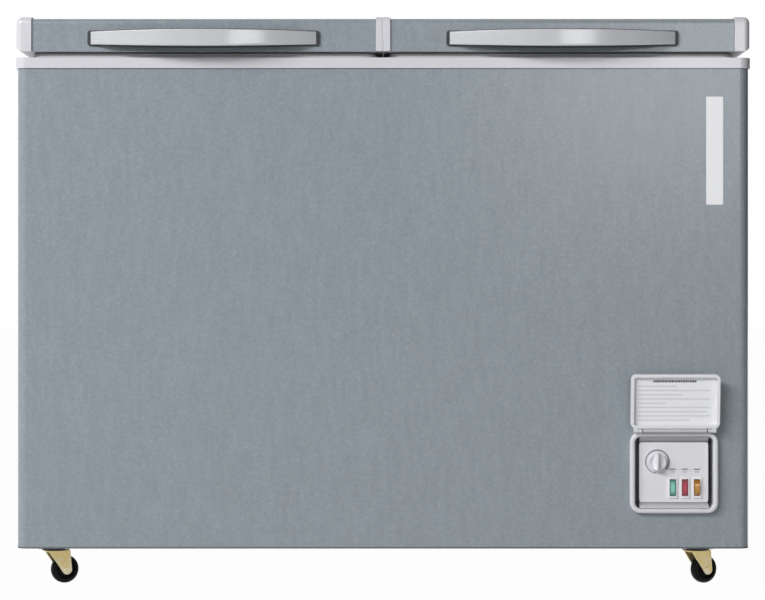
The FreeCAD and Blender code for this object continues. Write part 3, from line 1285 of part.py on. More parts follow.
def make_panel_cover():
    """Flip-up tray over the control recess, at rest open and leaning out a little.

    It is drawn upright with its pivot at the origin and its inner side to the front.
    """
    half_width, half_deep = "(cover_width / 2)", "(cover_deep / 2)"
    top = "(cover_start + cover_length)"
    body = prism("panel_cover", "xz", f"-{half_deep}", half_deep,
                 rounded(f"-{half_width}", "cover_start", half_width, top, "cover_radius"))
    cut_pad(body, "xz", f"-{half_deep} - 1", f"{half_deep} - cover_wall",
            rounded(f"(-{half_width} + cover_rim)", "(cover_start + cover_rim)", f"({half_width} - cover_rim)",
                    f"({top} - cover_rim)", "(cover_radius - cover_rim)"))
    ear = [
        (f"-{half_deep}", "cover_start + cover_rim / 2"),
        ("-lug_radius", "0", "lug_radius", 1),
        ("0", "-lug_radius", "lug_radius", 1),
        ("lug_radius", "0"),
        (half_deep, "cover_start + cover_rim / 2"),
    ]
    for side in (-1, 1):
        lug_edge = "(cover_width / 2 - lug_inset + lug_width / 2 + seat_gap)"
        low, high = mirrored(side, lug_edge, f"{lug_edge} + lug_width")
        add_pad(body, "yz", low, high, ear)
        stub_low, stub_high = mirrored(side, f"{lug_edge} - lug_width", f"{lug_edge} + lug_width / 2")
        add_rod(body, "stub_radius", (stub_low, "0", "0"), f"({stub_high}) - ({stub_low})", "x")
    body.Placement = FreeCAD.Placement(FreeCAD.Vector(), FreeCAD.Rotation(FreeCAD.Vector(1, 0, 0), 1))
    bind(body, "Placement.Rotation.Angle", "cover_lean")
    bind_place(body, PANEL_X, COVER_Y, COVER_Z)
    return finish(body, "panel_cover")


# Casters

def caster_places():
    """Name and swivel axis of each caster."""
    rows = (("front", f"({FRONT} + caster_inset)"), ("rear", f"({BACK} - caster_inset)"))
    return [(f"{row}_{name}", f"({side} * ({HALF} - caster_{name}))", y)
            for row, y in rows for name, side in SIDES]


def caster_screw_places():
    return [(f"({x} + {across} * caster_bolt)", f"({y} + {along} * caster_bolt)")
            for _, x, y in caster_places() for across in (-1, 1) for along in (-1, 1)]


def make_caster_plates():
    """Swivel plates under the base pan, each with its race and headed kingpin."""
    plates = []
    for _, x, y in caster_places():
        plate_low = "(caster_height - caster_plate_thick)"
        holes = [(f"{x} + {across} * caster_bolt", f"{y} + {along} * caster_bolt", "screw_hole")
                 for across in (-1, 1) for along in (-1, 1)]
        body = prism("caster_plate", "xy", plate_low, "caster_height",
                     about(x, y, "caster_plate", "caster_plate", "kingpin_head"), *holes)
        add_rod(body, "race_radius", (x, y, RACE_LOW), "race_height + caster_plate_thick / 2")
        pin_low = f"({FORK_LOW} - seat_gap - kingpin_tall)"
        add_rod(body, "kingpin_radius", (x, y, pin_low), f"{RACE_LOW} - {pin_low} + race_height / 2")
        add_rod(body, "kingpin_head", (x, y, pin_low), "kingpin_tall")
        plates.append(body)
    return group("caster_plates", plates)


def make_caster_screws():
    screws = []
    for x, y in caster_screw_places():
        body = new_body("caster_screw")
        seat = "(caster_height - caster_plate_thick)"
        add_rod(body, "screw_radius", (x, y, f"{seat} - screw_head_tall / 2"),
                "screw_head_tall / 2 + caster_plate_thick + pan_thick - seat_gap")
        add_rod(body, "caster_bolt_head", (x, y, f"{seat} - screw_head_tall"), "screw_head_tall")
        screws.append(body)
    return group("caster_screws", screws)


def place_caster(body, x, y):
    """Set a piece drawn about its swivel axis under its caster plate, turned as it rests."""
    body.Placement = FreeCAD.Placement(FreeCAD.Vector(), FreeCAD.Rotation(FreeCAD.Vector(0, 0, 1), 1))
    bind(body, "Placement.Rotation.Angle", "caster_turn")
    bind_place(body, x, y, "0")


def make_fork(name, x, y):
    """Pressed fork with a swivel disc and two tapering legs, and the axle riveted in it."""
    body = new_body(f"{name}_fork_sheet")
    add_rod(body, "fork_radius", ("0", "0", FORK_LOW), "fork_sheet")
    leg = [
        ("caster_trail - fork_tip * 0.84", "wheel_radius - fork_tip * 0.54", "fork_tip", 1),
        ("caster_trail + fork_tip", "wheel_radius"),
        ("fork_radius + fork_sheet", FORK_TOP),
        ("-fork_radius * 0.8", FORK_TOP),
        ("-fork_radius * 0.8", FORK_LOW),
    ]
    for low, high in ((LEG_INSIDE, LEG_OUTSIDE), (f"-{LEG_OUTSIDE}", f"-{LEG_INSIDE}")):
        add_pad(body, "xz", low, high, leg)
    cut_rod(body, "kingpin_radius + fit_gap", ("0", "0", f"{FORK_LOW} - 1"), "fork_sheet + 2")
    cut_rod(body, "axle_radius + fit_gap / 2", ("caster_trail", f"-{LEG_OUTSIDE} - 1", "wheel_radius"),
            f"2 * {LEG_OUTSIDE} + 2", "y")
    axle = new_body(f"{name}_axle")
    end = f"({LEG_OUTSIDE} + axle_head_tall)"
    add_rod(axle, "axle_radius", ("caster_trail", f"-{end}", "wheel_radius"), f"2 * {end}", "y")
    for start in (f"-{end}", LEG_OUTSIDE):
        add_rod(axle, "axle_head", ("caster_trail", start, "wheel_radius"), "axle_head_tall", "y")
    for piece in (body, axle):
        place_caster(piece, x, y)
    return group(f"{name}_caster_fork", [body, axle])


def make_wheel(name, x, y):
    """Black wheel with a rounded tread and a hub bored for the axle."""
    body = new_body(f"{name}_caster_wheel")
    half = "(wheel_width / 2)"
    bore = "(axle_radius + fit_gap)"
    end = f"({half} + hub_proud)"
    web = f"({half} - wheel_round / 2)"
    rim = "(wheel_radius - wheel_round - 1)"
    add_turned(body, [
        (bore, f"-{end}"),
        ("hub_radius", f"-{end}"),
        ("hub_radius", f"-{web}"),
        (rim, f"-{web}"),
        (rim, f"-{half}"),
        ("wheel_radius - wheel_round", f"-{half}", "wheel_round", 1),
        ("wheel_radius", f"-{half} + wheel_round"),
        ("wheel_radius", f"{half} - wheel_round", "wheel_round", 1),
        ("wheel_radius - wheel_round", half),
        (rim, half),
        (rim, web),
        ("hub_radius", web),
        ("hub_radius", end),
        (bore, end),
    ])
    turned_on_side = FreeCAD.Rotation(FreeCAD.Vector(1, 0, 0), -90)
    turn = FreeCAD.Rotation(FreeCAD.Vector(0, 0, 1), number("caster_turn"))
    body.Placement = FreeCAD.Placement(FreeCAD.Vector(), turn.multiply(turned_on_side))
    bind_place(body, f"{x} + caster_trail * cos(caster_turn)", f"{y} + caster_trail * sin(caster_turn)",
               "wheel_radius")
    return finish(body, f"{name}_caster_wheel")


def make_cabinet():
    make_outer_shell()
    make_back_panel()
    make_base_pan()
    make_bulkhead()
    make_foam()
    make_left_liner()
    make_right_liner()
    make_collar()


def make_cooling():
    make_evaporator("left", LEFT_ZONE, ZONE_FLOOR)
    make_evaporator("right", RIGHT_ZONE, STEP_FLOOR)
    make_condenser()
    make_compressor()
    make_grommets()
    make_studs()
    make_terminal_cover()
    make_drier()
    make_lines()
    make_side_grille()
    make_rear_cover()
    make_gland()


def make_lids():
    make_hinge_brackets()
    make_hinge_pins()
    make_sheet_screws()
    for name, side in SIDES:
        make_lid_skin(name, side)
        make_lid_caps(name, side)
        make_lid_foam(name, side)
        make_lid_liner(name, side)
        make_gasket(name, side)
        make_handle(name, side)
        make_hinge_leaves(name, side)


def make_controls():
    make_bezel()
    make_recess_box()
    make_plate()
    make_thermostat()
    make_knob()
    make_lamps()
    make_rocker()
    make_panel_cover()


def make_casters():
    make_caster_plates()
    make_caster_screws()
    for name, x, y in caster_places():
        make_fork(name, x, y)
        make_wheel(name, x, y)


def write_pieces():
    """Check every object of the document, then write one file for each sub-part."""
    doc.recompute()
    failed = [item.Label for item in doc.Objects if {"Invalid", "Error"} & set(item.State)]
    for piece in pieces:
        if piece.Shape.isNull() or not piece.Shape.isValid() or not piece.Shape.Solids:
            failed.append(piece.Label)
    if failed:
        raise RuntimeError("failed: " + ", ".join(failed))
    os.makedirs("parts", exist_ok=True)
    for piece in pieces:
        piece.Shape.exportStep(os.path.join("parts", piece.Label + ".step"))
    print(len(pieces), "sub-parts written")


make_cabinet()
make_cooling()
make_lids()
make_controls()
make_casters()
write_pieces()
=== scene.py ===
import json
import math

import bmesh
import bpy
from bpy.props import FloatProperty, FloatVectorProperty, PointerProperty
from mathutils import Matrix, Vector


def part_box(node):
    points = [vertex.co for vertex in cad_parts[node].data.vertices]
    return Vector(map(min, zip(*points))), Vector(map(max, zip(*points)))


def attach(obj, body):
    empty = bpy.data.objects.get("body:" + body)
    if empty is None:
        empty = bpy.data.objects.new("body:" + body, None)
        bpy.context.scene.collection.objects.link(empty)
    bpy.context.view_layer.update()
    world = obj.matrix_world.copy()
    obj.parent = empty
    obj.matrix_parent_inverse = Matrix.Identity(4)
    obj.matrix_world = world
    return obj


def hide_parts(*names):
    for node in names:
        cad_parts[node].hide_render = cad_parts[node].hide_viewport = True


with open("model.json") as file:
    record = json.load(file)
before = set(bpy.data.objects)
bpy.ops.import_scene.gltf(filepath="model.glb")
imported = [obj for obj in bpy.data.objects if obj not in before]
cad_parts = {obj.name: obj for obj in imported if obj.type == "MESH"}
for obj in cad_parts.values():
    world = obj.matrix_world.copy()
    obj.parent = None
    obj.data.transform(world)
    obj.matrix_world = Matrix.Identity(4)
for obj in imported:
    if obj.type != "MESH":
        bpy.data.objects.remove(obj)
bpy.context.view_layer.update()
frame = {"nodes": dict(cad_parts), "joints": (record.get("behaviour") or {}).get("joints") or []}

bl_info = {
    "name": "Chest freezer looks",
    "version": (1, 0, 0),
    "blender": (4, 5, 0),
    "location": "View3D > Sidebar > Freezer",
    "description": "Finishes and fine pieces of a dual zone chest freezer around its packed frame",
    "category": "Object",
}

SLOT_OF = {name: node.data.materials[0].name for name, node in frame["nodes"].items()}
JOINTS = {joint["name"]: joint for joint in frame["joints"]}
SIDES = ("left", "right")
CORNERS = ("front_left", "front_right", "rear_left", "rear_right")

SHELL_LOW, SHELL_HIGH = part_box("outer_shell")
PLATE_LOW, PLATE_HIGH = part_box("panel_plate")
PLATE_THICK = 0.003
PLATE_FACE = PLATE_HIGH.y - PLATE_THICK
COVER_PIVOT = Vector(JOINTS["flip_cover_hinge"]["pos_m"])
DIAL_MIDDLE = Vector(JOINTS["knob_turn"]["pos_m"])

TOUCH = 0.00001
QUARTER = math.pi / 2
SENSOR_WIDTH = 36.0
SHARP_ANGLE = math.radians(38)
BEVEL_ANGLE = math.radians(40)


# Properties that a user would change

def length(label, note, value):
    return FloatProperty(name=label, description=note, default=value, subtype="DISTANCE", unit="LENGTH",
                         precision=4)


def tint(label, note, value):
    return FloatVectorProperty(name=label, description=note, default=value, size=3, min=0, max=1,
                               subtype="COLOR")


class FreezerSizes(bpy.types.PropertyGroup):
    lid_radius: length("Lid edge", "Rounding of the lids' front and back top edges", 0.007)
    seam_width: length("Cap seam", "Width of the dark joint between lid skin and end cap", 0.0005)
    edging_drop: length("Edging drop", "How far the edging strip stands below the shell", 0.0013)
    edging_cover: length("Edging cover", "How far the edging strip covers the shell's face", 0.0012)
    grip_wall: length("Grip wall", "Thickness of the silver grip", 0.005)
    grip_foot: length("Grip foot", "Length of the silver grip's foot on its backing", 0.0125)
    grip_drop: length("Grip drop", "How far the grip's lower edge bows down", 0.0062)
    grip_roll: length("Grip roll", "Height of the rolled lower edge of the grip's face", 0.0042)
    grip_round: length("Grip rounding", "Rounding of the grip's upper edges", 0.0012)
    seal_width: length("Seal width", "Width of the seal's magnet strip", 0.014)
    seal_corner: length("Seal corner", "Outside radius of the seal's corners", 0.021)
    sticker_width: length("Sticker width", "Width of the strip sticker on the front", 0.025)
    sticker_height: length("Sticker height", "Height of the strip sticker on the front", 0.160)
    sticker_x: length("Sticker place", "Middle of the strip sticker right of the cabinet's middle", 0.491)
    sticker_z: length("Sticker level", "Middle of the strip sticker above the floor", 0.647)
    print_thick: length("Print thickness", "Thickness of printed marks and labels", 0.00015)
    dial_ring: length("Dial ring", "Inside radius of the printed dial wedge", 0.0163)
    caption_rise: length("Caption rise", "Captions above the lamps' frames", 0.0115)
    roll_radius: length("Hinge roll", "Radius of the cover's hinge roll", 0.0032)
    cover_lean: FloatProperty(name="Cover lean", description="Lean of the open cover from upright",
                              default=math.radians(6), subtype="ANGLE", unit="ROTATION")
    hood_rise: length("Louvre rise", "How far the louvre hoods stand off the rear cover", 0.0055)
    head_radius: length("Screw head", "Radius of a screw's pan head", 0.0042)
    head_tall: length("Screw head height", "Height of a screw's pan head", 0.0024)
    camera_x: length("Camera place", "Camera right of the cabinet's middle", -0.0007)
    camera_distance: length("Camera distance", "Camera in front of the cabinet's middle", 3.5405)
    camera_level: length("Camera level", "Camera above the floor", 0.4258)
    camera_lens: FloatProperty(name="Lens", description="Focal length of the camera in millimetres",
                               default=103.3, subtype="DISTANCE_CAMERA")


class FreezerColours(bpy.types.PropertyGroup):
    paint: tint("Paint", "Speckled grey-blue paint of the shell and lids", (0.262, 0.302, 0.333))
    paint_light: tint("Light fleck", "Light flecks in the paint", (0.46, 0.50, 0.53))
    paint_dark: tint("Dark fleck", "Dark flecks in the paint", (0.12, 0.145, 0.165))
    pale: tint("Pale plastic", "Collar and lid end caps", (0.635, 0.635, 0.675))
    bezel: tint("Bezel", "Frame round the control recess", (0.70, 0.70, 0.735))
    white: tint("White plastic", "Cover", (0.80, 0.805, 0.82))
    plate: tint("Plate", "Control plate and knob", (0.77, 0.76, 0.80))
    frames: tint("Lamp frames", "Frames round the lamps", (0.88, 0.88, 0.89))
    # The dark plastic also colours the grips' lips, where it is partly the handle's dark body and partly
    # painted shade under the grips.
    dark: tint("Dark plastic", "Handle backing, grip lip and lid seams", (0.028, 0.029, 0.032))
    # The recess colour is painted shade: a darker grey than the bezel and the cover, for the ledges in the
    # control recess and the cover's hinge roll.
    recess: tint("Recess", "Ledges round the control plate and the cover's hinge roll", (0.56, 0.56, 0.585))
    hollow: tint("Hollow", "Box behind the control plate", (0.66, 0.66, 0.69))
    # The caster plate colour is painted shade: plated steel made near black where the swivel plates lie in
    # shadow under the cabinet.
    shaded_race: tint("Caster plate", "Dark plated swivel plates", (0.030, 0.029, 0.028))
    grey: tint("Grey plastic", "Side grille", (0.20, 0.21, 0.22))
    # The edging colour is painted shade: a darker copy of the paint, for the hem under the shell's lower
    # edge.
    edging: tint("Edging", "Strip on the shell's lower edge", (0.140, 0.145, 0.158))
    silver: tint("Silver", "Bright trim of the grips", (0.56, 0.57, 0.59))
    seal: tint("Seal", "Grey rubber of the lid seals", (0.52, 0.52, 0.54))
    # The bellows colour is painted shade: it darkens the seals' upper band, where the gap under the lids lies
    # in shadow.
    bellows: tint("Bellows", "Dark upper part of the lid seals", (0.035, 0.035, 0.037))
    rubber: tint("Rubber", "Black rubber", (0.012, 0.012, 0.013))
    liner: tint("Liner", "Embossed sheet of the zones", (0.72, 0.74, 0.75))
    sheet: tint("White sheet", "Sheet under the lids", (0.75, 0.755, 0.76))
    zinc: tint("Zinc", "Galvanised sheet and zinc plated steel", (0.52, 0.53, 0.55))
    yellow_zinc: tint("Yellow zinc", "Plated caster forks", (0.82, 0.64, 0.27))
    copper: tint("Copper", "Copper tube and drier", (0.62, 0.28, 0.16))
    enamel: tint("Enamel", "Black enamel of the compressor", (0.010, 0.010, 0.011))
    foam: tint("Foam", "Insulating foam", (0.72, 0.60, 0.34))
    wheel: tint("Wheel", "Black caster wheels", (0.003, 0.0028, 0.0028))
    ink: tint("Ink", "Grey print on the control plate", (0.21, 0.21, 0.235))
    ink_dark: tint("Dark ink", "Dark print on the cover's label", (0.06, 0.06, 0.07))
    ink_pale: tint("Pale ink", "Pale print on the cover's label", (0.68, 0.68, 0.71))
    paper: tint("Paper", "Strip sticker and cover label", (0.86, 0.865, 0.88))
    # The lens colours are painted light and shade: a lighter middle and a darker edge for each lamp.
    green: tint("Green lens", "Middle of the green lamp", (0.23, 0.62, 0.50))
    green_shaded_edge: tint("Green edge", "Edge of the green lamp", (0.012, 0.10, 0.065))
    red: tint("Red lens", "Middle of the red lamp", (0.45, 0.035, 0.065))
    red_shaded_edge: tint("Red edge", "Edge of the red lamp", (0.13, 0.008, 0.02))
    amber: tint("Amber lens", "Middle of the amber rocker", (0.52, 0.25, 0.03))
    amber_shaded_edge: tint("Amber edge", "Edge of the amber rocker", (0.25, 0.10, 0.02))
    floor: tint("Floor", "Pale studio floor", (0.62, 0.62, 0.62))


def sizes():
    return bpy.context.scene.freezer_sizes


def colour(name):
    return (*getattr(bpy.context.scene.freezer_colours, name), 1.0)


# Node helpers

def put(tree, target, value):
    """Link a socket to an input, or set the input's own value."""
    if isinstance(value, bpy.types.NodeSocket):
        tree.links.new(value, target)
    else:
        target.default_value = value


def add_node(tree, kind, **values):
    """A node with its inputs set by name. A value that is a socket is linked instead."""
    made = tree.nodes.new(kind)
    for name, value in values.items():
        put(tree, made.inputs[name.replace("_", " ")], value)
    return made


def calc(tree, operation, first, second=0.0, clamp=False):
    made = tree.nodes.new("ShaderNodeMath")
    made.operation = operation
    made.use_clamp = clamp
    put(tree, made.inputs[0], first)
    put(tree, made.inputs[1], second)
    return made.outputs[0]


def product(tree, first, second):
    return calc(tree, "MULTIPLY", first, second)


def total(tree, first, second):
    return calc(tree, "ADD", first, second)


def vector_calc(tree, operation, first, second):
    made = tree.nodes.new("ShaderNodeVectorMath")
    made.operation = operation
    put(tree, made.inputs[0], first)
    put(tree, made.inputs[1], second)
    return made.outputs[0]


def parts_of(tree, vector):
    return add_node(tree, "ShaderNodeSeparateXYZ", Vector=vector).outputs


def spread(tree, value, low, high, to_low=0.0, to_high=1.0):
    """Map a range of values onto another, held at its ends."""
    made = add_node(tree, "ShaderNodeMapRange", Value=value)
    for index, limit in enumerate((low, high, to_low, to_high), start=1):
        put(tree, made.inputs[index], limit)
    return made.outputs["Result"]


def vary(tree, pattern, low, high):
    """Map the usual range of a noise onto another."""
    return spread(tree, pattern, 0.3, 0.7, low, high)


def blend(tree, factor, first, second, kind="MIX"):
    """Mix two colours."""
    made = tree.nodes.new("ShaderNodeMix")
    made.data_type = "RGBA"
    made.blend_type = kind
    put(tree, made.inputs[0], factor)
    put(tree, made.inputs[6], first)
    put(tree, made.inputs[7], second)
    return made.outputs[2]


def shaded(tree, tone, shade):
    """A colour made lighter or darker by a factor."""
    return blend(tree, 1.0, tone, shade, "MULTIPLY")


def noise(tree, place, scale, detail=3.0, rough=0.5):
    made = add_node(tree, "ShaderNodeTexNoise", Vector=place, Scale=scale, Detail=detail, Roughness=rough)
    return made.outputs["Fac"]


def cells_of(tree, place, scale):
    """Cells over a surface: the distance from their middles, and chance values for each cell."""
    made = add_node(tree, "ShaderNodeTexVoronoi", Vector=place, Scale=scale)
    chance = add_node(tree, "ShaderNodeSeparateColor", Color=made.outputs["Color"]).outputs
    return made.outputs["Distance"], chance


def add_sockets(group, way, **kinds):
    """Sockets that lead into a group or out of it, their names listed by kind."""
    for kind, labels in kinds.items():
        for label in labels:
            group.interface.new_socket(label, in_out=way, socket_type=f"NodeSocket{kind}")


def new_group(name, colours, values, vectors=(), results=("Roughness", "Height")):
    """A shader node group that puts out a colour and other results, with the sockets inside its ends."""
    group = bpy.data.node_groups.new(name, "ShaderNodeTree")
    add_sockets(group, "INPUT", Vector=("Place", *vectors), Color=colours, Float=values)
    add_sockets(group, "OUTPUT", Color=("Colour",), Float=results)
    entry = group.nodes.new("NodeGroupInput").outputs
    leave = group.nodes.new("NodeGroupOutput").inputs
    return group, entry, leave


def give(group, leave, **values):
    """Link a group's results to its outputs by name."""
    for name, value in values.items():
        put(group, leave[name], value)


# Effects that several materials share

def group_fleck_coat():
    """Paint with light and dark flecks, a faint mottle, upright streaks and the ripple of a sprayed coat."""
    group, entry, leave = new_group("Fleck coat", ("Paint", "Light", "Dark"), ("Flecks", "Gloss"))
    place, flecks = entry["Place"], entry["Flecks"]
    rare, light_share, dark_share = 0.72, 0.18, 0.16
    _, chance = cells_of(group, place, flecks)
    light = product(group, spread(group, chance["Red"], rare, 1.0), light_share)
    dark = product(group, spread(group, chance["Green"], rare, 1.0), dark_share)
    tone = blend(group, light, entry["Paint"], entry["Light"])
    tone = blend(group, dark, tone, entry["Dark"])
    mottle = noise(group, place, product(group, flecks, 0.3))
    upright = vector_calc(group, "MULTIPLY", place, (1.0, 1.0, 0.25))
    streaks = noise(group, upright, product(group, flecks, 0.2), 2.0)
    shade = product(group, spread(group, mottle, 0.25, 0.75, 0.94, 1.06), vary(group, streaks, 0.96, 1.04))
    ripple = noise(group, place, 420.0, 2.0)
    give(group, leave, Colour=shaded(group, tone, shade),
         Roughness=total(group, entry["Gloss"], product(group, mottle, 0.12)),
         Height=total(group, ripple, product(group, light, 0.6)))


def group_moulded_grain():
    """Spark eroded grain of a moulding, with broad soft differences of shade and gloss."""
    group, entry, leave = new_group("Moulded grain", ("Plastic",), ("Grain", "Shade", "Gloss"))
    fine = noise(group, entry["Place"], entry["Grain"], 2.0, 0.6)
    broad = noise(group, entry["Place"], 14.0, 4.0, 0.6)
    low = calc(group, "SUBTRACT", 1.0, entry["Shade"])
    high = total(group, 1.0, entry["Shade"])
    shade = blend(group, 0.5, vary(group, fine, low, high), vary(group, broad, low, high))
    rough = total(group, entry["Gloss"], vary(group, broad, -0.05, 0.05))
    give(group, leave, Colour=shaded(group, entry["Plastic"], shade),
         Roughness=total(group, rough, vary(group, fine, -0.04, 0.04)), Height=fine)


def group_drawn_metal():
    """Fine lines along the way a metal was drawn or brushed."""
    group, entry, leave = new_group("Drawn metal", ("Metal",), ("Lines", "Gloss"), vectors=("Stretch",))
    along = vector_calc(group, "MULTIPLY", entry["Place"], entry["Stretch"])
    lines = noise(group, along, entry["Lines"], 5.0, 0.65)
    cloud = noise(group, entry["Place"], 22.0)
    shade = product(group, spread(group, lines, 0.25, 0.75, 0.96, 1.04), vary(group, cloud, 0.97, 1.02))
    rough = spread(group, lines, 0.25, 0.75, -0.03, 0.04)
    give(group, leave, Colour=shaded(group, entry["Metal"], shade),
         Roughness=total(group, entry["Gloss"], rough), Height=lines)


def group_zinc_spangle():
    """Crystal pattern of a zinc coat."""
    group, entry, leave = new_group("Zinc spangle", ("Metal",), ("Crystals", "Gloss"))
    distance, chance = cells_of(group, entry["Place"], entry["Crystals"])
    bend = noise(group, entry["Place"], 60.0, 2.0)
    shade = product(group, spread(group, chance["Red"], 0.0, 1.0, 0.91, 1.07), vary(group, bend, 0.94, 1.05))
    rough = spread(group, chance["Green"], 0.0, 1.0, -0.08, 0.1)
    give(group, leave, Colour=shaded(group, entry["Metal"], shade),
         Roughness=total(group, entry["Gloss"], rough), Height=distance)


def group_pressed_cells():
    """Rounded cells: the stucco of an embossed sheet, or the open cells of a foam."""
    group, entry, leave = new_group("Pressed cells", ("Ground", "Hollow"), ("Cells", "Gloss"))
    cells = add_node(group, "ShaderNodeTexVoronoi", Vector=entry["Place"], Scale=entry["Cells"])
    cells.feature = "SMOOTH_F1"
    cells.inputs["Smoothness"].default_value = 0.6
    deep = spread(group, cells.outputs["Distance"], 0.1, 0.65)
    broad = noise(group, entry["Place"], 9.0)
    share = product(group, deep, vary(group, broad, 0.35, 0.65))
    give(group, leave, Colour=blend(group, share, entry["Ground"], entry["Hollow"]),
         Roughness=total(group, entry["Gloss"], vary(group, broad, -0.06, 0.06)), Height=deep)


def group_settled_dust():
    """Dust in patches that thickens towards the floor."""
    group, entry, leave = new_group("Settled dust", ("Below", "Dust"), ("Reach", "Amount"), results=())
    level = parts_of(group, entry["Place"])["Z"]
    low = calc(group, "SUBTRACT", 1.0, calc(group, "DIVIDE", level, entry["Reach"]), clamp=True)
    patch = spread(group, noise(group, entry["Place"], 85.0, 5.0, 0.65), 0.4, 0.68)
    mask = calc(group, "MULTIPLY", product(group, low, patch), entry["Amount"], clamp=True)
    give(group, leave, Colour=blend(group, mask, entry["Below"], entry["Dust"]))


def group_rubbed():
    """Small rub marks where hands and tools touch."""
    group, entry, leave = new_group("Rubbed", ("Below", "Bare"), ("Marks", "Amount"), results=())
    marks = noise(group, entry["Place"], entry["Marks"], 8.0, 0.72)
    mask = calc(group, "MULTIPLY", spread(group, marks, 0.62, 0.72), entry["Amount"], clamp=True)
    give(group, leave, Colour=blend(group, mask, entry["Below"], entry["Bare"]))


EFFECTS = (group_fleck_coat, group_moulded_grain, group_drawn_metal, group_zinc_spangle,
           group_pressed_cells, group_settled_dust, group_rubbed)


# Materials

DUST = (0.42, 0.40, 0.37, 1.0)
PALE_FILM = (0.80, 0.76, 0.60, 1.0)
FOAM_CELL = (0.50, 0.38, 0.18, 1.0)
LINER_CELL = (0.62, 0.64, 0.66, 1.0)
SHEET_CELL = (0.70, 0.71, 0.72, 1.0)
ACROSS = (0.03, 1.0, 1.0)
UPRIGHT = (1.0, 1.0, 0.03)
EVEN = (1.0, 1.0, 1.0)


def new_material(name):
    """A material with its tree, its surface and the coordinates of the piece it is on."""
    material = bpy.data.materials.new(name)
    material.use_nodes = True
    tree = material.node_tree
    place = tree.nodes.new("ShaderNodeTexCoord").outputs["Object"]
    return material, tree, tree.nodes["Principled BSDF"], place


def effect(tree, group_name, **values):
    made = tree.nodes.new("ShaderNodeGroup")
    made.node_tree = bpy.data.node_groups[group_name]
    for name, value in values.items():
        put(tree, made.inputs[name], value)
    return made.outputs


def lay_relief(tree, surface, height, bump, depth):
    relief = add_node(tree, "ShaderNodeBump", Strength=bump, Distance=depth, Height=height)
    put(tree, surface.inputs["Normal"], relief.outputs["Normal"])


def lay_finish(tree, surface, finish, bump, depth):
    """Link a finish's colour, roughness and relief to the surface."""
    put(tree, surface.inputs["Base Color"], finish["Colour"])
    put(tree, surface.inputs["Roughness"], finish["Roughness"])
    lay_relief(tree, surface, finish["Height"], bump, depth)


def lay_dust(tree, surface, place, below, reach, amount, film=DUST):
    """Cover a colour with dust near the floor."""
    dust = effect(tree, "Settled dust", Place=place, Below=below, Dust=film, Reach=reach, Amount=amount)
    put(tree, surface.inputs["Base Color"], dust["Colour"])


def set_surface(surface, **values):
    for name, value in values.items():
        surface.inputs[name.replace("_", " ")].default_value = value


def make_speckled_paint():
    material, tree, surface, place = new_material("Speckled paint")
    finish = effect(tree, "Fleck coat", Place=place, Paint=colour("paint"), Light=colour("paint_light"),
                    Dark=colour("paint_dark"), Flecks=540.0, Gloss=0.16)
    lay_finish(tree, surface, finish, 0.10, 0.0004)
    set_surface(surface, Specular_IOR_Level=0.5)
    return material


def make_plastic(name, shade_name, grain=900.0, shade=0.03, gloss=0.42, bump=0.06, dusty=0.0,
                 specular=0.4):
    """A moulded plastic, with dust near the floor where it is asked for."""
    material, tree, surface, place = new_material(name)
    finish = effect(tree, "Moulded grain", Place=place, Plastic=colour(shade_name), Grain=grain, Shade=shade,
                    Gloss=gloss)
    lay_finish(tree, surface, finish, bump, 0.0003)
    if dusty:
        lay_dust(tree, surface, place, finish["Colour"], 0.5, dusty)
    set_surface(surface, Specular_IOR_Level=specular)
    return material


def make_metal(name, shade_name, stretch, lines, gloss=0.3, bump=0.04, worn=0.0, dusty=0.0,
               metallic=1.0, specular=0.5, reach=0.3, film=DUST):
    """A drawn or plated metal, rubbed bare in places and dusty near the floor where that is asked for."""
    material, tree, surface, place = new_material(name)
    finish = effect(tree, "Drawn metal", Place=place, Metal=colour(shade_name), Stretch=stretch, Lines=lines,
                    Gloss=gloss)
    lay_finish(tree, surface, finish, bump, 0.0002)
    tone = finish["Colour"]
    if worn:
        tone = effect(tree, "Rubbed", Place=place, Below=tone, Bare=colour("zinc"), Marks=90.0,
                      Amount=worn)["Colour"]
        put(tree, surface.inputs["Base Color"], tone)
    if dusty:
        lay_dust(tree, surface, place, tone, reach, dusty, film)
    set_surface(surface, Metallic=metallic, Specular_IOR_Level=specular)
    return material


def make_galvanised():
    material, tree, surface, place = new_material("Galvanised sheet")
    finish = effect(tree, "Zinc spangle", Place=place, Metal=colour("zinc"), Crystals=70.0, Gloss=0.42)
    lay_finish(tree, surface, finish, 0.03, 0.0002)
    lay_dust(tree, surface, place, finish["Colour"], 0.6, 0.5)
    set_surface(surface, Metallic=0.85)
    return material


def make_pressed(name, ground, hollow, cells, gloss, bump, depth):
    """An embossed or open celled material."""
    material, tree, surface, place = new_material(name)
    finish = effect(tree, "Pressed cells", Place=place, Ground=colour(ground), Hollow=hollow, Cells=cells,
                    Gloss=gloss)
    lay_finish(tree, surface, finish, bump, depth)
    set_surface(surface, Specular_IOR_Level=0.4)
    return material


def make_enamel():
    material, tree, surface, place = new_material("Black enamel")
    finish = effect(tree, "Moulded grain", Place=place, Plastic=colour("enamel"), Grain=260.0, Shade=0.25,
                    Gloss=0.3)
    lay_finish(tree, surface, finish, 0.12, 0.0004)
    worn = effect(tree, "Rubbed", Place=place, Below=finish["Colour"], Bare=colour("zinc"), Marks=40.0,
                  Amount=0.25)
    lay_dust(tree, surface, place, worn["Colour"], 0.6, 0.4)
    return material


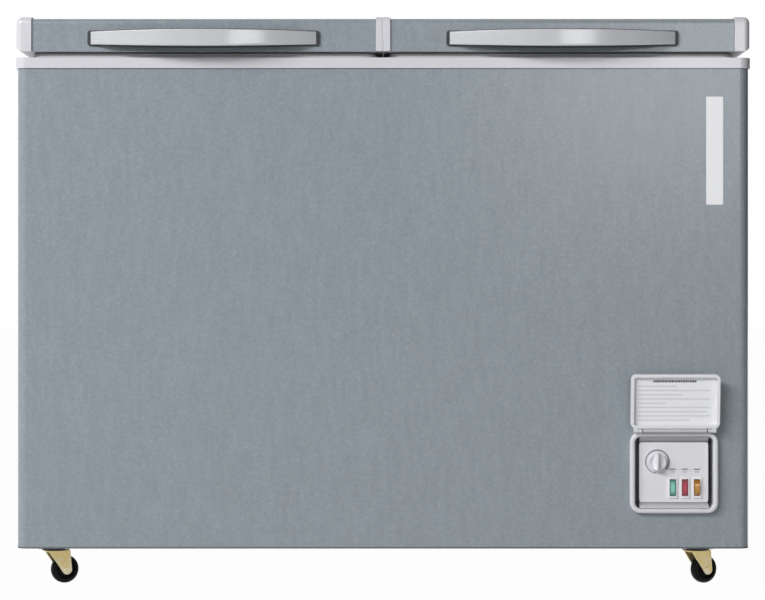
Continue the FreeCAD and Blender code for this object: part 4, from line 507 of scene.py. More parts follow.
def make_lens(name, lit_middle_name, shaded_edge_name, node):
    """A coloured lens with painted light and shade: lighter in the middle as if lit from behind, and darker
    towards its edge.
    """
    material, tree, surface, place = new_material(name)
    low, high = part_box(node)
    away = parts_of(tree, vector_calc(tree, "SUBTRACT", place, (low + high) / 2))
    across = calc(tree, "DIVIDE", calc(tree, "ABSOLUTE", away["X"]), (high.x - low.x) / 2)
    along = calc(tree, "DIVIDE", calc(tree, "ABSOLUTE", away["Z"]), (high.z - low.z) / 2)
    cloud = vary(tree, noise(tree, place, 320.0), -0.1, 0.1)
    # Painted light and shade: lighter towards the middle, darker towards the edge.
    edge = spread(tree, total(tree, calc(tree, "MAXIMUM", across, along), cloud), 0.35, 0.95)
    put(tree, surface.inputs["Base Color"], blend(tree, edge, colour(lit_middle_name), colour(shaded_edge_name)))
    ribs = noise(tree, place, 600.0, 1.0)
    put(tree, surface.inputs["Roughness"], vary(tree, ribs, 0.12, 0.24))
    lay_relief(tree, surface, ribs, 0.1, 0.0003)
    set_surface(surface, Coat_Weight=0.4, Coat_Roughness=0.08)
    return material


def make_seal(node):
    """Seal rubber, grey on the magnet strip, with painted shade on the bellows above it, where the gap under
    the lid's edge lies in shadow.
    """
    material, tree, surface, place = new_material("Seal rubber")
    low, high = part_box(node)
    # Painted shade: the seal turns dark above this height.
    shade_from, shade_to = (low.z + share * (high.z - low.z) for share in (0.74, 0.78))
    upper = spread(tree, parts_of(tree, place)["Z"], shade_from, shade_to)
    tone = blend(tree, upper, colour("seal"), colour("bellows"))
    finish = effect(tree, "Moulded grain", Place=place, Plastic=tone, Grain=1600.0, Shade=0.08, Gloss=0.55)
    lay_finish(tree, surface, finish, 0.1, 0.0003)
    set_surface(surface, Specular_IOR_Level=0.3)
    return material


def make_print(name, shade_name, gloss=0.5):
    """Printing ink or label paper, a little uneven."""
    material, tree, surface, place = new_material(name)
    finish = effect(tree, "Moulded grain", Place=place, Plastic=colour(shade_name), Grain=1500.0, Shade=0.05,
                    Gloss=gloss)
    lay_finish(tree, surface, finish, 0.03, 0.0001)
    return material


def make_materials():
    """Every finish by the record's slot name, or by a name of its own."""
    return {
        "speckled_paint": make_speckled_paint(),
        "galvanised_sheet": make_galvanised(),
        "foam": make_pressed("Insulating foam", "foam", FOAM_CELL, 420.0, 0.85, 0.5, 0.001),
        "liner_sheet": make_pressed("Embossed liner", "liner", LINER_CELL, 150.0, 0.34, 0.5, 0.0006),
        "white_sheet": make_pressed("White lid sheet", "sheet", SHEET_CELL, 260.0, 0.4, 0.2, 0.0004),
        "pale_plastic": make_plastic("Pale plastic", "pale", shade=0.025, gloss=0.22, specular=0.6),
        "bezel": make_plastic("Bezel plastic", "bezel", shade=0.025, gloss=0.3, specular=0.5),
        "grey_plastic": make_plastic("Lamp frame plastic", "frames", grain=1400.0, shade=0.02, gloss=0.3),
        "dark_plastic": make_plastic("Dark plastic", "dark", grain=1200.0, shade=0.2, bump=0.15),
        "knob_plastic": make_plastic("Plate plastic", "plate", grain=1300.0, shade=0.025, gloss=0.4),
        "cover_plastic": make_plastic("White plastic", "white", grain=1300.0, shade=0.02, gloss=0.34),
        "silver_trim": make_metal("Silver trim", "silver", ACROSS, lines=240.0, gloss=0.16, bump=0.005,
                                  metallic=0.06, specular=0.35),
        "grey_rubber": make_seal("left_lid_gasket"),
        "black_rubber": make_plastic("Black rubber", "rubber", shade=0.25, gloss=0.6, bump=0.2, dusty=0.35),
        "coil_tube": make_metal("Coil tube", "copper", EVEN, lines=180.0, gloss=0.34, dusty=0.2),
        "steel_tube": make_metal("Steel tube", "zinc", EVEN, lines=180.0, gloss=0.36, dusty=0.3),
        "copper": make_metal("Copper", "copper", EVEN, lines=150.0, gloss=0.26, dusty=0.25),
        "black_enamel": make_enamel(),
        "zinc_steel": make_metal("Zinc steel", "zinc", UPRIGHT, lines=160.0, gloss=0.34, worn=0.2, dusty=0.3),
        "yellow_zinc": make_metal("Yellow zinc", "yellow_zinc", EVEN, lines=110.0, worn=0.25, dusty=2.4,
                                  reach=0.055, film=PALE_FILM, metallic=0.6),
        "wheel_black": make_plastic("Wheel plastic", "wheel", grain=700.0, shade=0.3, bump=0.1, dusty=0.004,
                                    specular=0.10),
        "green_lens": make_lens("Green lens", "green", "green_shaded_edge", "power_lamp"),
        "red_lens": make_lens("Red lens", "red", "red_shaded_edge", "run_lamp"),
        "amber_lens": make_lens("Amber lens", "amber", "amber_shaded_edge", "quick_freeze_rocker"),
        "ink": make_print("Grey ink", "ink"),
        "ink_dark": make_print("Dark ink", "ink_dark"),
        "ink_pale": make_print("Pale ink", "ink_pale"),
        "paper": make_print("Label paper", "paper", gloss=0.36),
        # Painted shade: a darker copy of the pale plastic for the recess ledges and the hinge roll.
        "shaded_ledge": make_plastic("Shaded ledge plastic", "recess", grain=1300.0, shade=0.04, gloss=0.4),
        "hollow": make_plastic("Recess plastic", "hollow", grain=1300.0, shade=0.06, gloss=0.5),
        "grille": make_plastic("Grille plastic", "grey", grain=1100.0, shade=0.05, gloss=0.45, bump=0.1,
                               dusty=0.2),
        # Painted shade on the hem under the shell's lower edge.
        "edging": make_plastic("Shaded edging plastic", "edging", grain=1100.0, shade=0.08, gloss=0.5),
        # Painted shade: plated steel made near black for the swivel plates under the cabinet.
        "shaded_race": make_metal("Shaded plated steel", "shaded_race", EVEN, lines=120.0, gloss=0.42, worn=0.1,
                           metallic=0.5),
    }


MATERIALS = {}


# Mesh helpers

def quarter_turn(steps):
    """Cosine and sine at even steps of a quarter turn."""
    angles = [QUARTER * step / steps for step in range(steps + 1)]
    return [(math.cos(angle), math.sin(angle)) for angle in angles]


def arc_depth(offset, half, rise):
    """How far an arc stands off its chord at a distance from its middle."""
    radius = (half * half + rise * rise) / (2 * rise)
    return math.sqrt(max(0.0, radius * radius - offset * offset)) - (radius - rise)


def loft(bm, rings, joined=False):
    """Skin closed rings of points, as a solid with end caps or, if joined, as a closed loop."""
    made = [[bm.verts.new(point) for point in ring] for ring in rings]
    following = made[1:] + made[:1] if joined else made[1:]
    for first, second in zip(made, following):
        for index in range(len(first)):
            after = (index + 1) % len(first)
            bm.faces.new((first[index], first[after], second[after], second[index]))
    if not joined:
        bm.faces.new(made[0][::-1])
        bm.faces.new(made[-1])


def run_across(section, ends):
    """Rings of one section of depths and heights at two places across."""
    return [[(x, y, z) for y, z in section] for x in ends]


def rounded_outline(low, high, radius, steps):
    """Points round a rectangle with rounded corners, each with the direction that points out there."""
    middles = ((high[0] - radius, high[1] - radius), (low[0] + radius, high[1] - radius),
               (low[0] + radius, low[1] + radius), (high[0] - radius, low[1] + radius))
    points = []
    for corner, (x, y) in enumerate(middles):
        for step in range(steps + 1):
            angle = QUARTER * (corner + step / steps)
            out = Vector((math.cos(angle), math.sin(angle)))
            points.append((Vector((x, y)) + out * radius, out))
    return points


def lid_outline(low, high, foot, out, radius, steps):
    """Depths and heights up a lid's front, over its rounded top edges and down its back."""
    reach = radius + out
    points = [(low.y - out, foot)]
    for start, middle in ((math.pi, low.y + radius), (QUARTER, high.y - radius)):
        for step in range(steps + 1):
            angle = start - QUARTER * step / steps
            points.append((middle + reach * math.cos(angle), high.z - radius + reach * math.sin(angle)))
    points.append((high.y + out, foot))
    return points


def tablet(low, high, radius, rear, front):
    """Rings of a flat tablet with rounded corners that faces the front, from its X and Z corners."""
    corner_steps = 4
    outline = [point for point, _ in rounded_outline(low, high, radius, corner_steps)]
    return [[(x, y, z) for x, z in outline] for y in (rear, front)]


def make_piece(name, body, solids, slot, finish=None, replaced=(), joined=False, place=None):
    """Make a piece of lofted solids, which rides on a body and takes its slot's finish or another."""
    bm = bmesh.new()
    for rings in solids:
        loft(bm, rings, joined)
    if place:
        bm.transform(place)
    bmesh.ops.recalc_face_normals(bm, faces=bm.faces)
    mesh = bpy.data.meshes.new(name)
    bm.to_mesh(mesh)
    bm.free()
    mesh.materials.append(MATERIALS[finish or slot])
    mesh.shade_smooth()
    mesh.set_sharp_from_angle(angle=SHARP_ANGLE)
    piece = bpy.data.objects.new(name, mesh)
    bpy.context.scene.collection.objects.link(piece)
    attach(piece, body)
    if replaced:
        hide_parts(*replaced)


def wear(name, finish):
    """Give one node of the frame a finish."""
    frame["nodes"][name].material_slots[0].material = MATERIALS[finish]


def dress(*slots):
    """Give the frame's nodes of these slots their finish."""
    for name, slot in SLOT_OF.items():
        if slot in slots:
            wear(name, slot)


def ease_edges(width, *names, segments=2):
    """Break the sharp edges of frame nodes by a small rounding."""
    for name in names:
        node = frame["nodes"][name]
        weld = node.modifiers.new("Weld", "WELD")
        weld.merge_threshold = TOUCH
        rounding = node.modifiers.new("Rounding", "BEVEL")
        rounding.width = width
        rounding.segments = segments
        rounding.limit_method = "ANGLE"
        rounding.angle_limit = BEVEL_ANGLE
        rounding.use_clamp_overlap = True
        node.modifiers.new("Normals", "WEIGHTED_NORMAL")


# Operators, one for each piece or group of like pieces

class FREEZER_OT_finishes(bpy.types.Operator):
    """Build the shared effects and every material"""
    bl_idname = "freezer.finishes"
    bl_label = "Finishes"
    bl_options = {"REGISTER", "UNDO"}

    def execute(self, context):
        for build in EFFECTS:
            build()
        MATERIALS.update(make_materials())
        return {"FINISHED"}


class FREEZER_OT_cabinet(bpy.types.Operator):
    """Finish the cabinet and lids, and make the lids' seams and flap and the shell's edging"""
    bl_idname = "freezer.cabinet"
    bl_label = "Cabinet"
    bl_options = {"REGISTER", "UNDO"}

    def execute(self, context):
        dress("speckled_paint", "galvanised_sheet", "foam", "liner_sheet", "white_sheet", "pale_plastic")
        ease_edges(0.0015, "top_collar", segments=3)
        for side in SIDES:
            ease_edges(0.0008, f"{side}_lid_end_caps")
            self.make_seams(side)
        self.make_flap()
        self.make_edging()
        return {"FINISHED"}

    def make_seams(self, side):
        """Dark joints where the end caps grip the lid's skin, over its front, top and back."""
        low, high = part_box(f"{side}_lid_skin")
        foot, stand, deep = low.z + 0.0005, 0.0002, 0.0004
        inner, outer = (lid_outline(low, high, foot, out, sizes().lid_radius, 8) for out in (-deep, stand))
        joints = []
        for end, inward in ((low.x, 1), (high.x, -1)):
            far_end = end + inward * sizes().seam_width
            joints.append([[(end, *near), (far_end, *near), (far_end, *far), (end, *far)]
                           for near, far in zip(inner, outer)])
        make_piece(f"{side}_cap_seams", f"{side}_lid", joints, "dark_plastic")

    def make_flap(self):
        """A thin flap on the left lid that closes the gap between the two lids."""
        low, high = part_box("left_lid_end_caps")
        other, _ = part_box("right_lid_end_caps")
        sunk, lap, clearance = 0.0003, 0.0001, 0.0003
        outline = lid_outline(low, high, low.z + sunk, -sunk, sizes().lid_radius + sunk, 6)
        flap = run_across(outline, (high.x - lap, other.x - clearance))
        make_piece("lid_gap_flap", "left_lid", [flap], "pale_plastic")

    def make_edging(self):
        """A dark grey strip on the shell's raw lower edge, along its front and both sides, that paints the
        shade falling on the hem there.
        """
        skin = frame["nodes"]["outer_shell"].data.vertices
        front = [vertex.co.x for vertex in skin if vertex.co.y < SHELL_LOW.y + TOUCH]
        corner, steps = SHELL_HIGH.x - max(front), 6
        bends = rounded_outline(SHELL_LOW.xy, SHELL_HIGH.xy, corner, steps)[2 * (steps + 1):]
        path = [(Vector((SHELL_LOW.x, SHELL_HIGH.y)), Vector((-1, 0))), *bends,
                (Vector((SHELL_HIGH.x, SHELL_HIGH.y)), Vector((1, 0)))]
        drop, cover = sizes().edging_drop, sizes().edging_cover
        sunk, stand, thick, ease = 0.0002, 0.0003, 0.0026, 0.0004
        section = ((-stand, cover), (-stand, ease - drop), (ease - stand, -drop), (thick - ease, -drop),
                   (thick, ease - drop), (thick, sunk), (sunk, sunk), (sunk, cover))
        strip = [[(*(point - out * inset), SHELL_LOW.z + level) for inset, level in section]
                 for point, out in path]
        make_piece("shell_shaded_edging", "cabinet", [strip], "dark_plastic", "edging")


class FREEZER_OT_grips(bpy.types.Operator):
    """Make the bowed silver grips with a rolled lower edge and a dark lip under it, the lip partly the
    handle's dark body and partly painted shade under the grip
    """
    bl_idname = "freezer.grips"
    bl_label = "Grips"
    bl_options = {"REGISTER", "UNDO"}

    def execute(self, context):
        dress("dark_plastic")
        for side in SIDES:
            ease_edges(0.0006, f"{side}_handle_backing")
            self.make_grip(side)
        return {"FINISHED"}

    def make_grip(self, side):
        node = f"{side}_handle_grip"
        low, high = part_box(node)
        half, middle = (high.x - low.x) / 2, (high.x + low.x) / 2
        bow, set_in, stations = high.y - low.y, 0.0004, 120
        silver, dark = [], []
        for station in range(stations + 1):
            offset = -(half - set_in) * math.cos(math.pi * station / stations)
            for rings, section in zip((silver, dark), self.sections(offset, half, bow, low.z, high.z)):
                rings.append([(middle + offset, high.y - depth, z) for depth, z in section])
        make_piece(f"{side}_silver_grip", f"{side}_lid", [silver], "silver_trim", replaced=(node,))
        # The lip's dark plastic is partly the handle's dark body and partly painted shade under the grip.
        make_piece(f"{side}_grip_shade_lip", f"{side}_lid", [dark], "dark_plastic")

    def sections(self, offset, half, bow, low_z, top):
        """Depth and height of the points round the silver face and its lip at one place along the grip."""
        size = sizes()
        outer = arc_depth(offset, half, bow)
        inner = max(0.0, arc_depth(offset, half - size.grip_foot, bow - size.grip_wall))
        wall = outer - inner
        low = low_z + size.grip_drop - arc_depth(offset, half, size.grip_drop)
        edge, deep, hold = min(size.grip_round, 0.3 * wall), 0.7 * wall, 0.0006
        face = [(outer - edge + edge * sine, top - edge + edge * cosine) for cosine, sine in quarter_turn(4)]
        roll = [(outer - deep + deep * cosine, low + size.grip_roll * (1 - sine))
                for cosine, sine in quarter_turn(12)]
        half_roll = len(roll) // 2
        split = roll[half_roll][1]
        face += [(outer, top - edge - hold), (outer, low + size.grip_roll + hold), *roll[:half_roll + 1],
                 (inner + edge, split), (inner, split + edge), (inner, top - edge), (inner + edge, top)]
        lip = roll[half_roll:] + [(inner + edge, low), (inner + 0.5 * edge, low + 0.3 * (split - low)),
                                  (inner + 0.5 * edge, split)]
        return face, lip


class FREEZER_OT_seals(bpy.types.Operator):
    """Make the soft seals under the lids, with a magnet strip, bellows and a foot"""
    bl_idname = "freezer.seals"
    bl_label = "Lid seals"
    bl_options = {"REGISTER", "UNDO"}

    def execute(self, context):
        for side in SIDES:
            self.make_seal(side)
        return {"FINISHED"}

    def make_seal(self, side):
        node = f"{side}_lid_gasket"
        low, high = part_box(node)
        tall = high.z - low.z
        profile = [(across * sizes().seal_width, low.z + up * tall) for across, up in self.profile()]
        rings = []
        for point, out in rounded_outline(low.xy, high.xy, sizes().seal_corner, 10):
            rings.append([(*(point - out * inset), z) for inset, z in profile])
        make_piece(f"{side}_lid_seal", f"{side}_lid", [rings], "grey_rubber", replaced=(node,), joined=True)

    def profile(self):
        """The seal's section as shares of its width and height, outside first."""
        outside = [(0.10, 0.0), (0.03, 0.04), (0.0, 0.13), (0.0, 0.34), (0.04, 0.44), (0.15, 0.50),
                   (0.24, 0.55), (0.26, 0.61), (0.20, 0.68), (0.14, 0.74), (0.14, 0.80), (0.20, 0.86),
                   (0.27, 0.91), (0.28, 1.0)]
        inside = [(1.0 - across, up) for across, up in reversed(outside)]
        return outside + inside


class FREEZER_OT_controls(bpy.types.Operator):
    """Finish the control panel and make its ledges, knob, dial wedge and captions"""
    bl_idname = "freezer.controls"
    bl_label = "Control panel"
    bl_options = {"REGISTER", "UNDO"}

    def execute(self, context):
        dress("knob_plastic", "cover_plastic", "grey_plastic", "green_lens", "red_lens", "amber_lens")
        wear("panel_plate", "knob_plastic")
        wear("panel_box", "hollow")
        wear("panel_bezel", "bezel")
        ease_edges(0.0008, "panel_plate")
        ease_edges(0.0005, "lamp_frames")
        self.make_ledges()
        self.make_knob()
        self.make_dial()
        self.make_captions()
        return {"FINISHED"}

    def make_ledges(self):
        """Ledges from the bezel to the plate: a plain slope above it and a stepped one below it, in a darker
        grey that paints the shade in the recess.
        """
        inside_low, inside_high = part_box("panel_box")
        bezel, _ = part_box("panel_bezel")
        lip, wall, gap, step = 0.0075, 0.0022, 0.0004, 0.0016
        front, rear = bezel.y + lip, PLATE_HIGH.y - 0.0005
        top, bottom = inside_high.z - wall, inside_low.z + wall
        over, under = PLATE_HIGH.z + gap, PLATE_LOW.z - gap
        middle = (bottom + under) / 2
        above = ((front, top), (rear, over), (rear + step, over), (rear + step, top))
        below = ((front, bottom), (front + step, middle), (front + 2.2 * step, middle), (rear, under),
                 (rear + step, under), (rear + step, bottom))
        ledges = [run_across(section, (PLATE_LOW.x, PLATE_HIGH.x)) for section in (above, below)]
        make_piece("shaded_recess_ledges", "cabinet", ledges, None, "shaded_ledge")

    def make_knob(self):
        """A round knob with finger hollows either side of a ridge."""
        low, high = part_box("thermostat_knob")
        radius, tall, rear = (high.x - low.x) / 2, high.y - low.y, high.y
        turns, steps = 96, 22
        rings = []
        for step in range(1, steps + 1):
            share = step / steps
            ring = []
            for turn in range(turns):
                angle = 2 * math.pi * turn / turns
                across, up = share * math.cos(angle), share * math.sin(angle)
                ring.append((DIAL_MIDDLE.x + radius * across,
                             rear - tall * self.knob_height(across, share),
                             DIAL_MIDDLE.z + radius * up))
            rings.append(ring)
        rings.append([(x, rear, z) for x, _, z in rings[-1]])
        make_piece("dial_knob", "knob", [rings], "knob_plastic", replaced=("thermostat_knob",))

    def knob_height(self, across, share):
        """Height of the knob's face as a share, from the distance across its ridge and from its middle."""
        ridge_half, rim_from, rim_drop = 0.15, 0.9, 0.16
        ridge = 1.0 / (1.0 + (abs(across) / ridge_half) ** 3)
        hollow = 0.30 + 0.34 * share ** 3
        face = hollow + (1.0 - hollow) * ridge * (1.0 - 0.25 * share ** 6)
        rim = max(0.0, share - rim_from) / (1.0 - rim_from)
        return face - rim_drop * rim * rim

    def make_dial(self):
        """A printed wedge that widens round the dial."""
        start, end, steps = math.radians(-95), math.radians(-400), 72
        narrow, widening = 0.0013, 0.0012
        inner, front = sizes().dial_ring, PLATE_LOW.y - sizes().print_thick
        rings = []
        for step in range(steps + 1):
            share = step / steps
            angle = start + (end - start) * share
            outer = inner + narrow + widening * share ** 2
            corners = ((inner, PLATE_FACE), (outer, PLATE_FACE), (outer, front), (inner, front))
            cosine, sine = math.cos(angle), math.sin(angle)
            rings.append([(DIAL_MIDDLE.x + reach * cosine, y, DIAL_MIDDLE.z + reach * sine)
                          for reach, y in corners])
        make_piece("dial_wedge", "cabinet", [rings], None, "ink")

    def make_captions(self):
        """Short bars above each lamp, on a hairline."""
        front = PLATE_FACE - sizes().print_thick
        _, frames_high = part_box("lamp_frames")
        level = frames_high.z + sizes().caption_rise
        lamps = [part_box(name) for name in ("power_lamp", "run_lamp", "quick_freeze_rocker")]
        middles = [(low.x + high.x) / 2 for low, high in lamps]
        bars = ((0.0088, 0.0019, 0.0), (0.0060, 0.0010, 0.0040))
        marks = []
        for middle in middles:
            for wide, tall, drop in bars:
                foot, top = level - drop - tall / 2, level - drop + tall / 2
                marks.append(tablet((middle - wide / 2, foot), (middle + wide / 2, top), tall * 0.3,
                                    PLATE_FACE, front))
        past, line_low, line_high = 0.006, level - 0.0010, level - 0.0007
        marks.append(tablet((middles[0] - past, line_low), (middles[2] + past, line_high), 0.0001, PLATE_FACE,
                            (front + PLATE_FACE) / 2))
        make_piece("lamp_captions", "cabinet", marks, None, "ink")


class FREEZER_OT_cover(bpy.types.Operator):
    """Make the open cover's hinge roll and the label inside it"""
    bl_idname = "freezer.cover"
    bl_label = "Panel cover"
    bl_options = {"REGISTER", "UNDO"}

    def execute(self, context):
        ease_edges(0.0008, "panel_cover")
        self.make_roll()
        self.make_label()
        return {"FINISHED"}

    def make_on_cover(self, name, solids, slot, finish):
        """Make a piece of solids drawn round the hinge of an upright cover, leaned as the open one."""
        place = Matrix.Translation(COVER_PIVOT) @ Matrix.Rotation(sizes().cover_lean, 4, "X")
        make_piece(name, "flip_cover", solids, slot, finish, place=place)

    def make_roll(self):
        """The rolled lower edge that turns about the stub pins, in the darker ledge grey that paints the
        shade under the cover.
        """
        half, radius = 0.047, sizes().roll_radius
        start, turn, steps = -215, 250, 16
        angles = [math.radians(start + turn * step / steps) for step in range(steps + 1)]
        outline = [(radius * math.cos(angle), radius * math.sin(angle)) for angle in angles]
        outline += [(0.0030, 0.0062), (-0.0010, 0.0062)]
        self.make_on_cover("cover_roll", [run_across(outline, (-half, half))], "cover_plastic", "shaded_ledge")

    def make_label(self):
        """A pale label with a heading and lines drawn as plain bars."""
        half, low, high, rear = 0.0575, 0.0095, 0.0785, 0.002
        sheet_face, print_face = (rear - layers * sizes().print_thick for layers in (1, 2))
        sheet = tablet((-half, low), (half, high), 0.002, rear, sheet_face)
        self.make_on_cover("cover_label", [sheet], None, "paper")
        x, space, heading_low, heading_high = -0.0325, 0.0007, high - 0.0068, high - 0.0036
        heading, lines = [], []
        for number in range(19):
            wide = 0.0021 + 0.0006 * (number * 7 % 3)
            heading.append(tablet((x, heading_low), (x + wide, heading_high), 0.0003, rear, print_face))
            x += wide + space
        self.make_on_cover("cover_heading", heading, None, "ink_dark")
        rows = (0.52, 0.98, 0.60, 0.97, 0.38, 0.98, 0.93, 0.98, 0.70)
        margin, first, pitch, half_line = 0.003, high - 0.0125, 0.0063, 0.0009
        left, wide = margin - half, 2 * (half - margin)
        for row, share in enumerate(rows):
            level = first - pitch * row
            lines.append(tablet((left, level - half_line), (left + share * wide, level + half_line), 0.0004,
                                rear, print_face))
        self.make_on_cover("cover_lines", lines, None, "ink_pale")


class FREEZER_OT_sticker(bpy.types.Operator):
    """Make the blank strip sticker on the front"""
    bl_idname = "freezer.sticker"
    bl_label = "Strip sticker"
    bl_options = {"REGISTER", "UNDO"}

    def execute(self, context):
        size = sizes()
        half_wide, half_tall = size.sticker_width / 2, size.sticker_height / 2
        strip = tablet((size.sticker_x - half_wide, size.sticker_z - half_tall),
                       (size.sticker_x + half_wide, size.sticker_z + half_tall), 0.001,
                       SHELL_LOW.y, SHELL_LOW.y - size.print_thick)
        make_piece("strip_sticker", "cabinet", [strip], None, "paper")
        return {"FINISHED"}


class FREEZER_OT_vents(bpy.types.Operator):
    """Finish the vents and make the rear cover's louvre hoods and the side grille's blades"""
    bl_idname = "freezer.vents"
    bl_label = "Vents"
    bl_options = {"REGISTER", "UNDO"}

    def execute(self, context):
        wear("side_grille", "grille")
        self.make_hoods()
        self.make_blades()
        return {"FINISHED"}

    def slots(self, name, axis):
        """Ends and rows of a node's slots, from the corners that most of its points share along an axis."""
        low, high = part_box(name)
        border = 0.004
        counts = {}
        for vertex in frame["nodes"][name].data.vertices:
            counts.setdefault(round(vertex.co[axis], 5), set()).add(round(vertex.co.z, 5))
        inside = {key: rows for key, rows in counts.items() if low[axis] + border < key < high[axis] - border}
        ends = sorted(sorted(inside, key=lambda key: len(inside[key]))[-2:])
        rows = sorted(inside[ends[0]] & inside[ends[1]])
        return ends, list(zip(rows[0::2], rows[1::2]))

    def make_hoods(self):
        """Hoods over the rear cover's slots, open below and rounded at both ends."""
        _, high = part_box("rear_cover")
        (left, right), rows = self.slots("rear_cover", 0)
        lap, bend, steps = 0.002, 0.009, 24
        hoods = []
        for low_z, high_z in rows:
            rings = []
            for step in range(steps + 1):
                x = left - lap + (right - left + 2 * lap) * step / steps
                near = min(x - left + lap, right + lap - x)
                stand = sizes().hood_rise * math.sqrt(max(0.0, 1 - (1 - min(1.0, near / bend)) ** 2))
                rings.append(self.hood_section(x, high.y, low_z, high_z + lap, stand))
            hoods.append(rings)
        make_piece("louvre_hoods", "cabinet", hoods, "galvanised_sheet")

    def hood_section(self, x, face, low_z, top, stand):
        tall, sheet, lift = top - low_z, 0.0008, 0.0001
        outer = [(x, face + stand * sine + lift, top - tall * (1 - cosine))
                 for cosine, sine in quarter_turn(6)]
        inner = [(x, face + max(0.0, stand - sheet) * sine, top - sheet - (tall - sheet) * (1 - cosine))
                 for cosine, sine in quarter_turn(6)]
        return outer + inner[::-1]

    def make_blades(self):
        """Slanted blades in the side grille's slots."""
        _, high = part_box("side_grille")
        ends, rows = self.slots("side_grille", 1)
        outside, inside = high.x - 0.0006, high.x - 0.0096
        thick, foot, rise = 0.0014, 0.0002, 0.0018
        blades = []
        for low_z, high_z in rows:
            section = ((outside, low_z + foot), (outside, low_z + foot + thick),
                       (inside, high_z + rise + thick), (inside, high_z + rise))
            blades.append([[(x, y, z) for x, z in section] for y in ends])
        make_piece("grille_blades", "cabinet", blades, "grey_plastic", "grille")


class FREEZER_OT_fasteners(bpy.types.Operator):
    """Make cross recessed pan heads for the sheet metal screws and finish the hinges"""
    bl_idname = "freezer.fasteners"
    bl_label = "Screws and hinges"
    bl_options = {"REGISTER", "UNDO"}

    def execute(self, context):
        dress("zinc_steel")
        ease_edges(0.0005, "hinge_brackets", "left_hinge_leaves", "right_hinge_leaves", "hinge_pins")
        self.make_heads()
        return {"FINISHED"}

    def make_heads(self):
        """A domed head with a cross recess on every sheet metal screw."""
        node = "sheet_metal_screws"
        radius, tall = sizes().head_radius, sizes().head_tall
        one_screw = 2.2 * radius
        screws = []
        for vertex in frame["nodes"][node].data.vertices:
            for points in screws:
                if (points[0] - vertex.co).xz.length < one_screw:
                    points.append(vertex.co)
                    break
            else:
                screws.append([vertex.co])
        heads = []
        for points in screws:
            x, z = ((min(values) + max(values)) / 2 for values in zip(*(point.xz for point in points)))
            seat = max(point.y for point in points) - tall
            heads.append([[(x + u * radius, seat + rise * tall, z + v * radius) for u, v in ring]
                          for ring, rise in self.head_rings()])
        make_piece("screw_heads", "cabinet", heads, "zinc_steel", replaced=(node,))

    def head_rings(self):
        """Outlines of a head from its seat to the floor of its recess, each with its height as a share."""
        rings = []
        for reach, rise in ((1.0, 0.0), (1.0, 0.35), (0.9, 0.65), (0.72, 0.87)):
            angles = [math.radians(15 * step - 15) for step in range(24)]
            rings.append(([(reach * math.cos(angle), reach * math.sin(angle)) for angle in angles], rise))
        end, half = 0.52, 0.13
        middle = (end + half) / 2
        arm = [(end, -half), (end, 0), (end, half), (middle, half), (half, half), (half, middle)]
        cross = []
        for _ in range(4):
            cross += arm
            arm = [(-v, u) for u, v in arm]
        for scale, rise in ((1.0, 0.97), (0.8, 0.4)):
            rings.append(([(scale * u, scale * v) for u, v in cross], rise))
        return rings


class FREEZER_OT_cooling(bpy.types.Operator):
    """Finish the compressor, tubes and drier"""
    bl_idname = "freezer.cooling"
    bl_label = "Cooling circuit"
    bl_options = {"REGISTER", "UNDO"}

    def execute(self, context):
        dress("coil_tube", "steel_tube", "copper", "black_enamel", "black_rubber", "grey_rubber")
        return {"FINISHED"}


class FREEZER_OT_casters(bpy.types.Operator):
    """Finish the casters"""
    bl_idname = "freezer.casters"
    bl_label = "Casters"
    bl_options = {"REGISTER", "UNDO"}

    def execute(self, context):
        dress("yellow_zinc", "wheel_black")
        wear("caster_plates", "shaded_race")
        for corner in CORNERS:
            ease_edges(0.0006, f"{corner}_caster_fork")
            ease_edges(0.0012, f"{corner}_caster_wheel", segments=3)
        return {"FINISHED"}


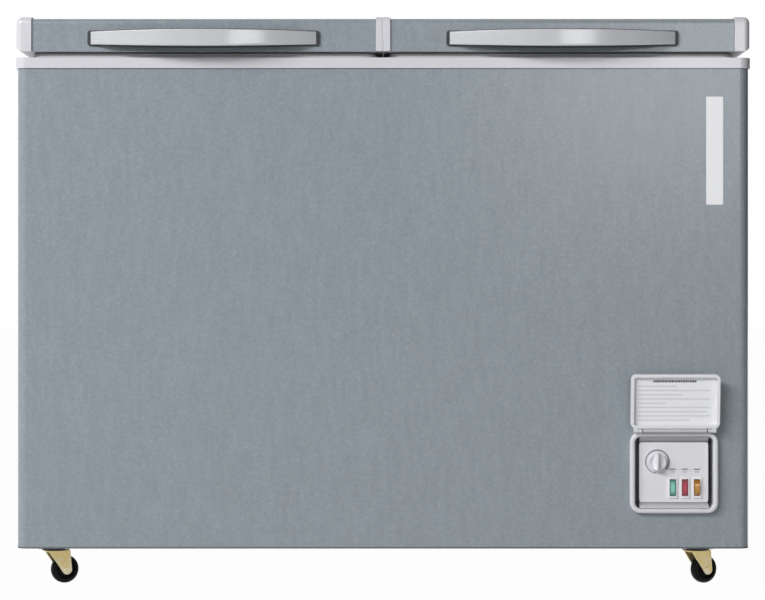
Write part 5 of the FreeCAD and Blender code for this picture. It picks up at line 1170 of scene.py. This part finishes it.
class FREEZER_OT_stage(bpy.types.Operator):
    """Set up the floor, the soft light and the camera"""
    bl_idname = "freezer.stage"
    bl_label = "Stage"
    bl_options = {"REGISTER", "UNDO"}

    def execute(self, context):
        context.scene.view_settings.view_transform = "Standard"
        self.make_floor(context.scene)
        self.make_world(context.scene)
        self.make_lamps(context.scene)
        self.make_camera(context.scene)
        return {"FINISHED"}

    def make_floor(self, scene):
        half = 30.0
        bm = bmesh.new()
        bm.faces.new([bm.verts.new((x * half, y * half, 0)) for x, y in ((-1, -1), (1, -1), (1, 1), (-1, 1))])
        mesh = bpy.data.meshes.new("floor")
        bm.to_mesh(mesh)
        bm.free()
        floor = bpy.data.objects.new("floor", mesh)
        scene.collection.objects.link(floor)
        mesh.materials.append(self.floor_material())

    def floor_material(self):
        """White to the camera and to reflections, with the object's shadow left in it."""
        material, tree, surface, place = new_material("Studio floor")
        finish = effect(tree, "Moulded grain", Place=place, Plastic=colour("floor"), Grain=40.0, Shade=0.01,
                        Gloss=0.8)
        put(tree, surface.inputs["Base Color"], finish["Colour"])
        put(tree, surface.inputs["Roughness"], finish["Roughness"])
        glow = add_node(tree, "ShaderNodeEmission", Strength=1.0)
        white_share = product(tree, seen_directly(tree, 1.0), 0.975)
        mix_shaders(tree, white_share, surface, glow, "Material Output")
        return material

    def make_world(self, scene):
        """White where it is seen, and a soft light from the front that fades towards the right."""
        world = bpy.data.worlds.new("Studio")
        scene.world = world
        world.use_nodes = True
        tree = world.node_tree
        way = parts_of(tree, tree.nodes.new("ShaderNodeTexCoord").outputs["Generated"])
        across = spread(tree, way["X"], -0.6, 0.35, 0.50, 0.02)
        above = spread(tree, way["Z"], 0.15, 0.9, 1.0, 0.45)
        ahead = spread(tree, way["Y"], -1.0, -0.3, 1.6, 1.0)
        behind = spread(tree, way["Y"], 0.0, 0.3)
        open_side = spread(tree, way["X"], -0.1, 0.4, 1.0, 0.0)
        soft = tree.nodes["Background"]
        soft.inputs["Color"].default_value = (1, 1, 1, 1)
        put(tree, soft.inputs["Strength"], product(tree, product(tree, across, above), ahead))
        white = add_node(tree, "ShaderNodeBackground", Color=(1, 1, 1, 1), Strength=1.0)
        white_share = seen_directly(tree, product(tree, behind, open_side))
        mix_shaders(tree, white_share, soft, white, "World Output")

    def make_lamps(self, scene):
        aim_share = 0.55
        target = Vector((0.0, SHELL_LOW.y, SHELL_HIGH.z * aim_share))
        lamps = (("left_box", Vector((-3.4, -4.2, 3.1)), 4.2, 0.8, 278.0),
                 ("front_box", Vector((1.5, -6.7, 1.6)), 1.7, 1.2, 31.0))
        for name, place, wide, tall, watts in lamps:
            lamp = bpy.data.lights.new(name, "AREA")
            lamp.shape = "RECTANGLE"
            lamp.energy = watts
            lamp.size = wide
            lamp.size_y = tall
            holder = bpy.data.objects.new(name, lamp)
            holder.location = place
            holder.rotation_euler = (target - place).to_track_quat("-Z", "Y").to_euler()
            scene.collection.objects.link(holder)

    def make_camera(self, scene):
        size = sizes()
        camera = bpy.data.cameras.new("camera")
        camera.sensor_width = SENSOR_WIDTH
        camera.lens = size.camera_lens
        camera.clip_end = 100.0
        holder = bpy.data.objects.new("camera", camera)
        holder.location = (size.camera_x, -size.camera_distance, size.camera_level)
        holder.rotation_euler = (QUARTER, 0, 0)
        scene.collection.objects.link(holder)
        scene.camera = holder


def seen_directly(tree, mirrored):
    """One for rays from the camera, and a share of it for those from a mirror or glass."""
    rays = tree.nodes.new("ShaderNodeLightPath").outputs
    either = calc(tree, "MAXIMUM", rays["Is Glossy Ray"], rays["Is Transmission Ray"])
    return calc(tree, "MAXIMUM", rays["Is Camera Ray"], product(tree, either, mirrored))


def mix_shaders(tree, factor, first, second, output):
    """Lead two shader nodes through a mixer to the tree's output."""
    mixer = tree.nodes.new("ShaderNodeMixShader")
    put(tree, mixer.inputs[0], factor)
    tree.links.new(first.outputs[0], mixer.inputs[1])
    tree.links.new(second.outputs[0], mixer.inputs[2])
    tree.links.new(mixer.outputs[0], tree.nodes[output].inputs["Surface"])


class FREEZER_PT_pieces(bpy.types.Panel):
    """Lists the freezer's pieces in the order in which they are made"""
    bl_idname = "FREEZER_PT_pieces"
    bl_label = "Chest freezer"
    bl_space_type = "VIEW_3D"
    bl_region_type = "UI"
    bl_category = "Freezer"

    def draw(self, context):
        for operator in PIECES:
            self.layout.operator(operator.bl_idname)


PIECES = (FREEZER_OT_finishes, FREEZER_OT_cabinet, FREEZER_OT_grips, FREEZER_OT_seals, FREEZER_OT_controls,
          FREEZER_OT_cover, FREEZER_OT_sticker, FREEZER_OT_vents, FREEZER_OT_fasteners, FREEZER_OT_cooling,
          FREEZER_OT_casters, FREEZER_OT_stage)
CLASSES = (FreezerSizes, FreezerColours, *PIECES, FREEZER_PT_pieces)


def register():
    for entry in CLASSES:
        bpy.utils.register_class(entry)
    bpy.types.Scene.freezer_sizes = PointerProperty(type=FreezerSizes)
    bpy.types.Scene.freezer_colours = PointerProperty(type=FreezerColours)


def unregister():
    del bpy.types.Scene.freezer_colours
    del bpy.types.Scene.freezer_sizes
    for entry in reversed(CLASSES):
        bpy.utils.unregister_class(entry)


def main():
    register()
    for operator in PIECES:
        family, name = operator.bl_idname.split(".")
        getattr(getattr(bpy.ops, family), name)()
    bpy.context.view_layer.update()


if __name__ == "__main__":
    main()
